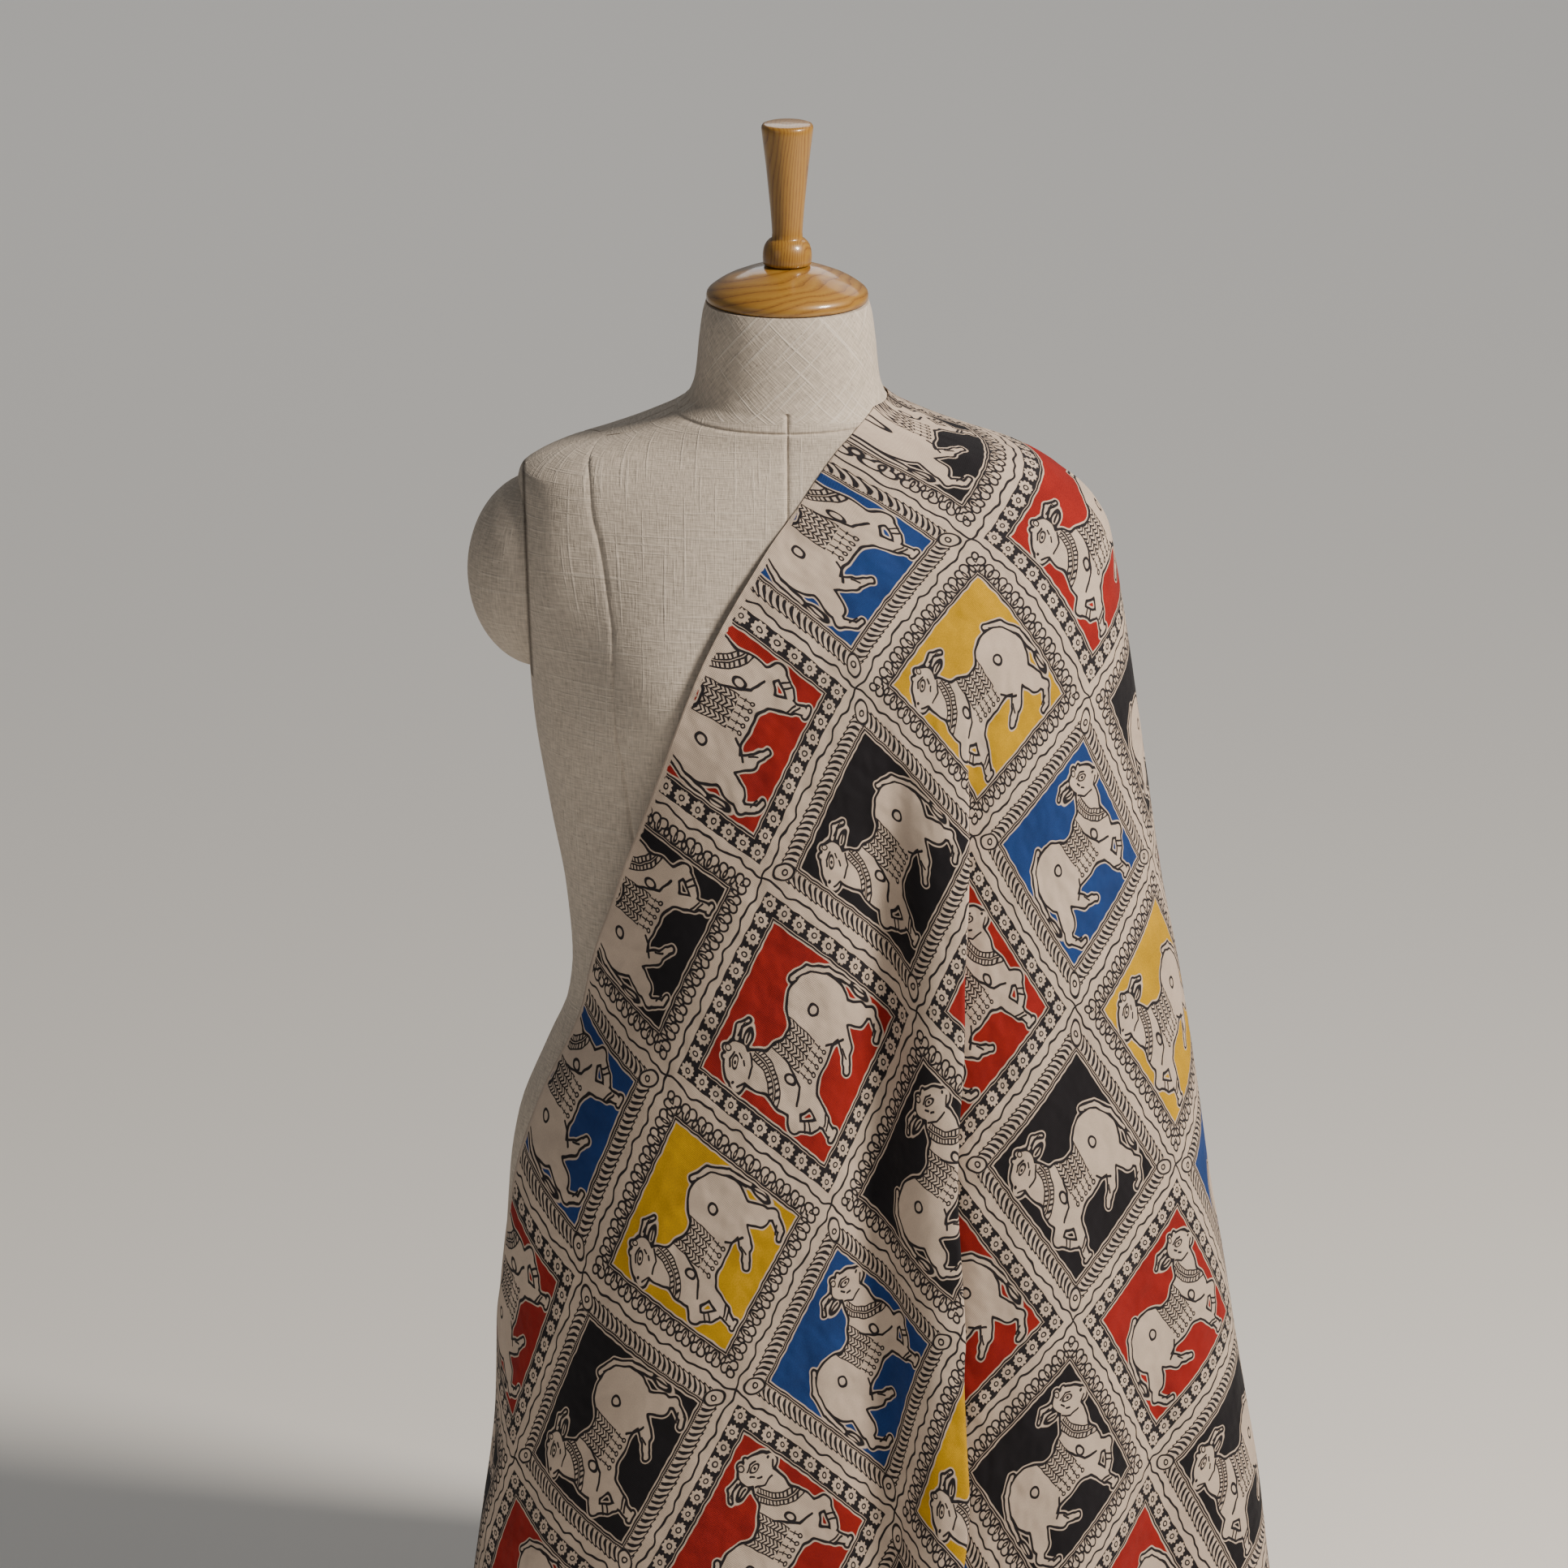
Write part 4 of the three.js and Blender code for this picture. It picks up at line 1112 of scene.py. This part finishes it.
def make_print():
    """Kalamkari: plain-woven cotton, block printed and dyed; a dry, matt cloth with a fine weave."""
    material, put = new_material("block_printed_cotton")
    flat = put("UVMap", uv_map="Weave")
    real = put("VectorMath", flat, (PER_METRE, PER_METRE, 0), operation="MULTIPLY")
    wander = put("TexNoise", real, *WANDER, **FLAT)
    wander = put("VectorMath", (wander, "Color"), (0.5, 0.5, 0), operation="SUBTRACT")
    reach = (WANDER_REACH, WANDER_REACH, 0)
    drawn = put("VectorMath", wander, reach, real, operation="MULTIPLY_ADD")
    start = (-PRINT_START[0] / PITCH, -PRINT_START[1] / PITCH, 0)
    cells = put("VectorMath", drawn, (1 / PITCH, 1 / PITCH, 0), start, operation="MULTIPLY_ADD")
    whole = put("VectorMath", cells, operation="FLOOR")
    part = put("VectorMath", cells, whole, operation="SUBTRACT")
    local = put("VectorMath", part, (PANEL, PANEL, 0), (-PANEL / 2, -PANEL / 2, 0),
                operation="MULTIPLY_ADD")
    number = put("SeparateXYZ", whole)
    place = put("SeparateXYZ", local)
    count = put("SeparateXYZ", cells)
    even = put("FLOORED_MODULO", (number, "Y"), 2)
    facing = put("MULTIPLY_ADD", even, -2, 1)
    x = put("MULTIPLY", (place, "X"), facing)
    y = put("MULTIPLY", (place, "Y"), -1)
    at = put("CombineXYZ", x, y, 0)

    row = put("FLOORED_MODULO", put("ADD", (number, "X"), 1), 3)
    odd = put("SUBTRACT", 1, even)
    panel = put("MULTIPLY_ADD", row, 2, odd)
    ground = constant_ramp(put, panel, [colour(text) for text, _ in PANELS])
    kinds = constant_ramp(put, panel, [(*kind, 1) for _, kind in PANELS])
    kind = put("SeparateColor", kinds)

    bull, bull_ink = draw_bull(put, at, x, y)
    out, border_ink = draw_border(put, (place, "X"), (place, "Y"), kind)
    beyond_square = put("SUBTRACT", 0, out)
    square_ink = put("MAXIMUM", bull_ink, out)

    # Wavy lines where the panels meet.
    across = put("MULTIPLY", (count, "X"), PANEL)
    down = put("MULTIPLY", (count, "Y"), PANEL)
    wavy = []
    for line, other in ((across, down), (down, across)):
        sway = put("ADD", *(wave(put, other, size, length) for size, length in WAVES))
        gap = put("PINGPONG", put("ADD", line, sway), PANEL / 2)
        wavy.append(put("SUBTRACT", gap, WAVY_HALF))
    ink = nearest(put, [square_ink, border_ink, *wavy])

    # The print ends unevenly at a plain cream selvedge.
    ragged, clouds, specks, rumple = (
        put("TexNoise", real, *noise, **FLAT) for noise in COTTON_NOISES
    )
    edge = put("MULTIPLY_ADD", ragged, -3, (put("SeparateXYZ", real), "Y"))
    printed = put("MULTIPLY_ADD", edge, 2, -3.4, use_clamp=True)

    # The ground's dye leaves out the borders, the bull and a thin cream rim about the bull.
    bull_and_rim = coverage(put, put("SUBTRACT", bull, BULL_RIM))
    cover = put("MAXIMUM", bull_and_rim, coverage(put, beyond_square))
    dyed = put("MULTIPLY", put("SUBTRACT", 1, cover), printed)
    inked = put("MULTIPLY", coverage(put, ink), printed)

    # Hand dyeing: broad clouds of stronger and weaker colour, and specks where the thread shows.
    dye = uneven(put, ground, clouds, specks, DYE_TONE)
    cream = uneven(put, colour("c3b1a1"), clouds, specks, CREAM_TONE)
    painted = put("Mix", dyed, cream, dye, data_type="RGBA")
    black = put("Mix", put("MULTIPLY", specks, 0.12), colour("141216"), colour("6a6068"),
                data_type="RGBA")
    final = put("Mix", inked, painted, black, data_type="RGBA")

    # Plain weave: real threads lie 0.35 mm apart, drawn at 1 mm to show in the picture.
    turned = put("VectorMath", real, (2 * math.pi / THREAD,) * 3, operation="MULTIPLY")
    each_way = put("VectorMath", turned, operation="SINE")
    threads = put("VectorMath", each_way, (1, 1, 0), operation="DOT_PRODUCT")
    fine = put("Bump", 0.3, 0.0002, None, threads)
    bump = put("Bump", 0.5, 0.006, None, rumple, fine)
    return finish_surface(material, Base_Color=final, Roughness=0.85, Specular_IOR_Level=0.25,
                          Sheen_Weight=0.03, Normal=bump)


def make_linen(name, neck_height):
    """Unbleached linen: plain weave of uneven flax threads, dry and matt, with slubs and specks.

    Above neck_height, in metres, it is cut on the bias.
    """
    material, put = new_material(name)
    flat = put("UVMap", uv_map="Weave")
    straight = put("VectorMath", flat, (PER_METRE, PER_METRE, 0), operation="MULTIPLY")
    across = put("VectorMath", straight, (BIAS, BIAS, 0), operation="DOT_PRODUCT")
    down = put("VectorMath", straight, (-BIAS, BIAS, 0), operation="DOT_PRODUCT")
    bias = put("CombineXYZ", across, down, 0)
    place = put("SeparateXYZ", (put("TexCoord"), "Object"))
    on_neck = put("GREATER_THAN", (place, "Z"), neck_height)
    real = put("Mix", on_neck, straight, bias, data_type="VECTOR")

    # Real threads lie 0.5 mm apart; they are drawn about 1.1 mm apart to show in the picture, and
    # each varies over 9 mm of its length. Slubs are a few thicker, paler threads each way.
    warp, weft, slub_warp, slub_weft = (
        put("TexNoise", put("VectorMath", real, scale, operation="MULTIPLY"), 1, detail, rough, **FLAT)
        for across_it, along_it, detail, rough in (LINEN_THREAD, LINEN_SLUB)
        for scale in ((across_it, along_it, 0), (along_it, across_it, 0))
    )
    threads = put("ADD", warp, weft)
    thickest = put("MAXIMUM", slub_warp, slub_weft)
    slubs = put("MULTIPLY_ADD", thickest, 9, -6.4, use_clamp=True)
    flecks, clouds = (put("TexNoise", real, *noise, **FLAT) for noise in (LINEN_FLECKS, LINEN_CLOUDS))
    flecks = put("MULTIPLY_ADD", flecks, 9, -6.2, use_clamp=True)
    cloth_colour = uneven(put, colour("c6baac"), clouds, threads, LINEN_TONE)
    paleness = put("MULTIPLY", slubs, put("MULTIPLY_ADD", on_neck, 0.35, 0.22))
    paler = put("Mix", paleness, cloth_colour, colour("ded5c9"), data_type="RGBA")
    darker = put("Mix", put("MULTIPLY", flecks, 0.6), paler, colour("5d5146"),
                 data_type="RGBA")

    # Painted shade at the armhole seam: a narrow, slightly leaning dark line beside each arm, where
    # shade falls between the arm and the torso, mixed into the linen's colour.
    shade_at = ARMHOLE_SHADE
    out = put("ABSOLUTE", (place, "X"))
    side = put("MULTIPLY_ADD", (place, "Z"), -shade_at["lean"], out)
    off = put("ABSOLUTE", put("SUBTRACT", side, shade_at["out"]))
    line = put("MULTIPLY_ADD", off, -shade_at["steep"], 1, use_clamp=True)
    above = put("ABSOLUTE", put("SUBTRACT", (place, "Z"), shade_at["height"]))
    beside_arm = put("LESS_THAN", above, shade_at["half_tall"])
    # The painted shade's strength: the line, kept to the height of the arms.
    crease = put("MULTIPLY", line, put("MULTIPLY", beside_arm, 0.8))
    # The linen's colour with the painted shade mixed in.
    armhole_shaded = put("Mix", crease, darker, colour("3b3129"), data_type="RGBA")
    bump = put("Bump", 0.45, 0.0005, None, put("ADD", threads, slubs))
    return finish_surface(material, Base_Color=armhole_shaded, Roughness=0.9, Specular_IOR_Level=0.25,
                          Normal=bump)


def make_wood(name, squeeze, turn, ring_size):
    """Turned hardwood under clear varnish: honey brown growth rings and pores below a gloss coat."""
    material, put = new_material(name)
    place = put("TexCoord")
    laid = put("Mapping", (place, "Object"), (0, 0, WOOD_SHIFT), turn, (PER_METRE,) * 3)
    squeezed = put("VectorMath", laid, squeeze, operation="MULTIPLY")
    drift, pores = (put("TexNoise", squeezed, *noise) for noise in WOOD_NOISES)
    rings_at = put("VectorMath", (drift, "Color"), (RING_DRIFT,) * 3, squeezed,
                   operation="MULTIPLY_ADD")
    rings = put("TexWave", rings_at, 1 / ring_size, 0, wave_type="RINGS", rings_direction="X",
                wave_profile="SAW")
    by_pores, by_rings = WOOD_TONE
    tone = put("MULTIPLY_ADD", pores, by_pores, put("MULTIPLY", rings, by_rings))
    stain = put("ValToRGB", tone)
    while len(stain.color_ramp.elements) < len(WOOD_STAIN):
        stain.color_ramp.elements.new(0.5)
    for stop, (text, at) in zip(stain.color_ramp.elements, WOOD_STAIN):
        stop.position = at
        stop.color = colour(text)
    bump = put("Bump", 0.12, 0.0003, None, pores)
    return finish_surface(material, Base_Color=stain, Roughness=0.42, Coat_Weight=0.8,
                          Coat_Roughness=0.12, Normal=bump)


def make_paper():
    """A pale, matt paper floor with no grain to see."""
    return finish_surface(new_material("matt_paper")[0], Base_Color=colour("f1efeb"), Roughness=0.9)


def make_stage():
    """A plain pale floor, and soft studio light."""
    deselect()
    bpy.ops.mesh.primitive_plane_add(size=FLOOR_WIDTH, location=(0, 0, 0))
    floor = bpy.context.object
    floor.name = floor.data.name = "studio_floor"
    floor.data.materials.append(make_paper())
    world = bpy.context.scene.world or bpy.data.worlds.new("studio")
    bpy.context.scene.world = world
    world.use_nodes = True
    room = world.node_tree.nodes["Background"].inputs
    room["Color"].default_value = colour(ROOM_LIGHT[0])
    room["Strength"].default_value = ROOM_LIGHT[1]
    for name, place, aim, size, power, text in LIGHTS:
        bpy.ops.object.light_add(type="AREA", location=place)
        light = bpy.context.object
        light.name = light.data.name = name
        light.data.shape = "DISK"
        light.data.size = size
        light.data.energy = power
        light.data.color = colour(text)[:3]
        light.rotation_euler = (Vector(aim) - Vector(place)).to_track_quat("-Z", "Y").to_euler()


make_camera()
cloth, cloth_flat = make_cloth()
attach(cloth, "root")
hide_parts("cloth")
sheet_area(cloth_flat)

torso = make_torso()
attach(torso, "root")
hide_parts("form_torso")
linen = make_linen("unbleached_linen", NECK_SEAM["side"] * MM)
torso.data.materials.append(linen)

for arm_name, arm_side, arm_node in ARMS:
    arm = make_arm(arm_name, arm_side)
    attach(arm, "root")
    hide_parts(arm_node)
    arm.data.materials.append(linen)

for wood_name, wood_profile, wood_crease, wood_node, wood_grain in WOOD_PIECES:
    wood = turned_piece(wood_name, wood_profile, wood_crease)
    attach(wood, "root")
    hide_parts(wood_node)
    wood.data.materials.append(make_wood(wood_name + "_varnished", *wood_grain))

cloth.data.materials.append(make_print())
make_stage()
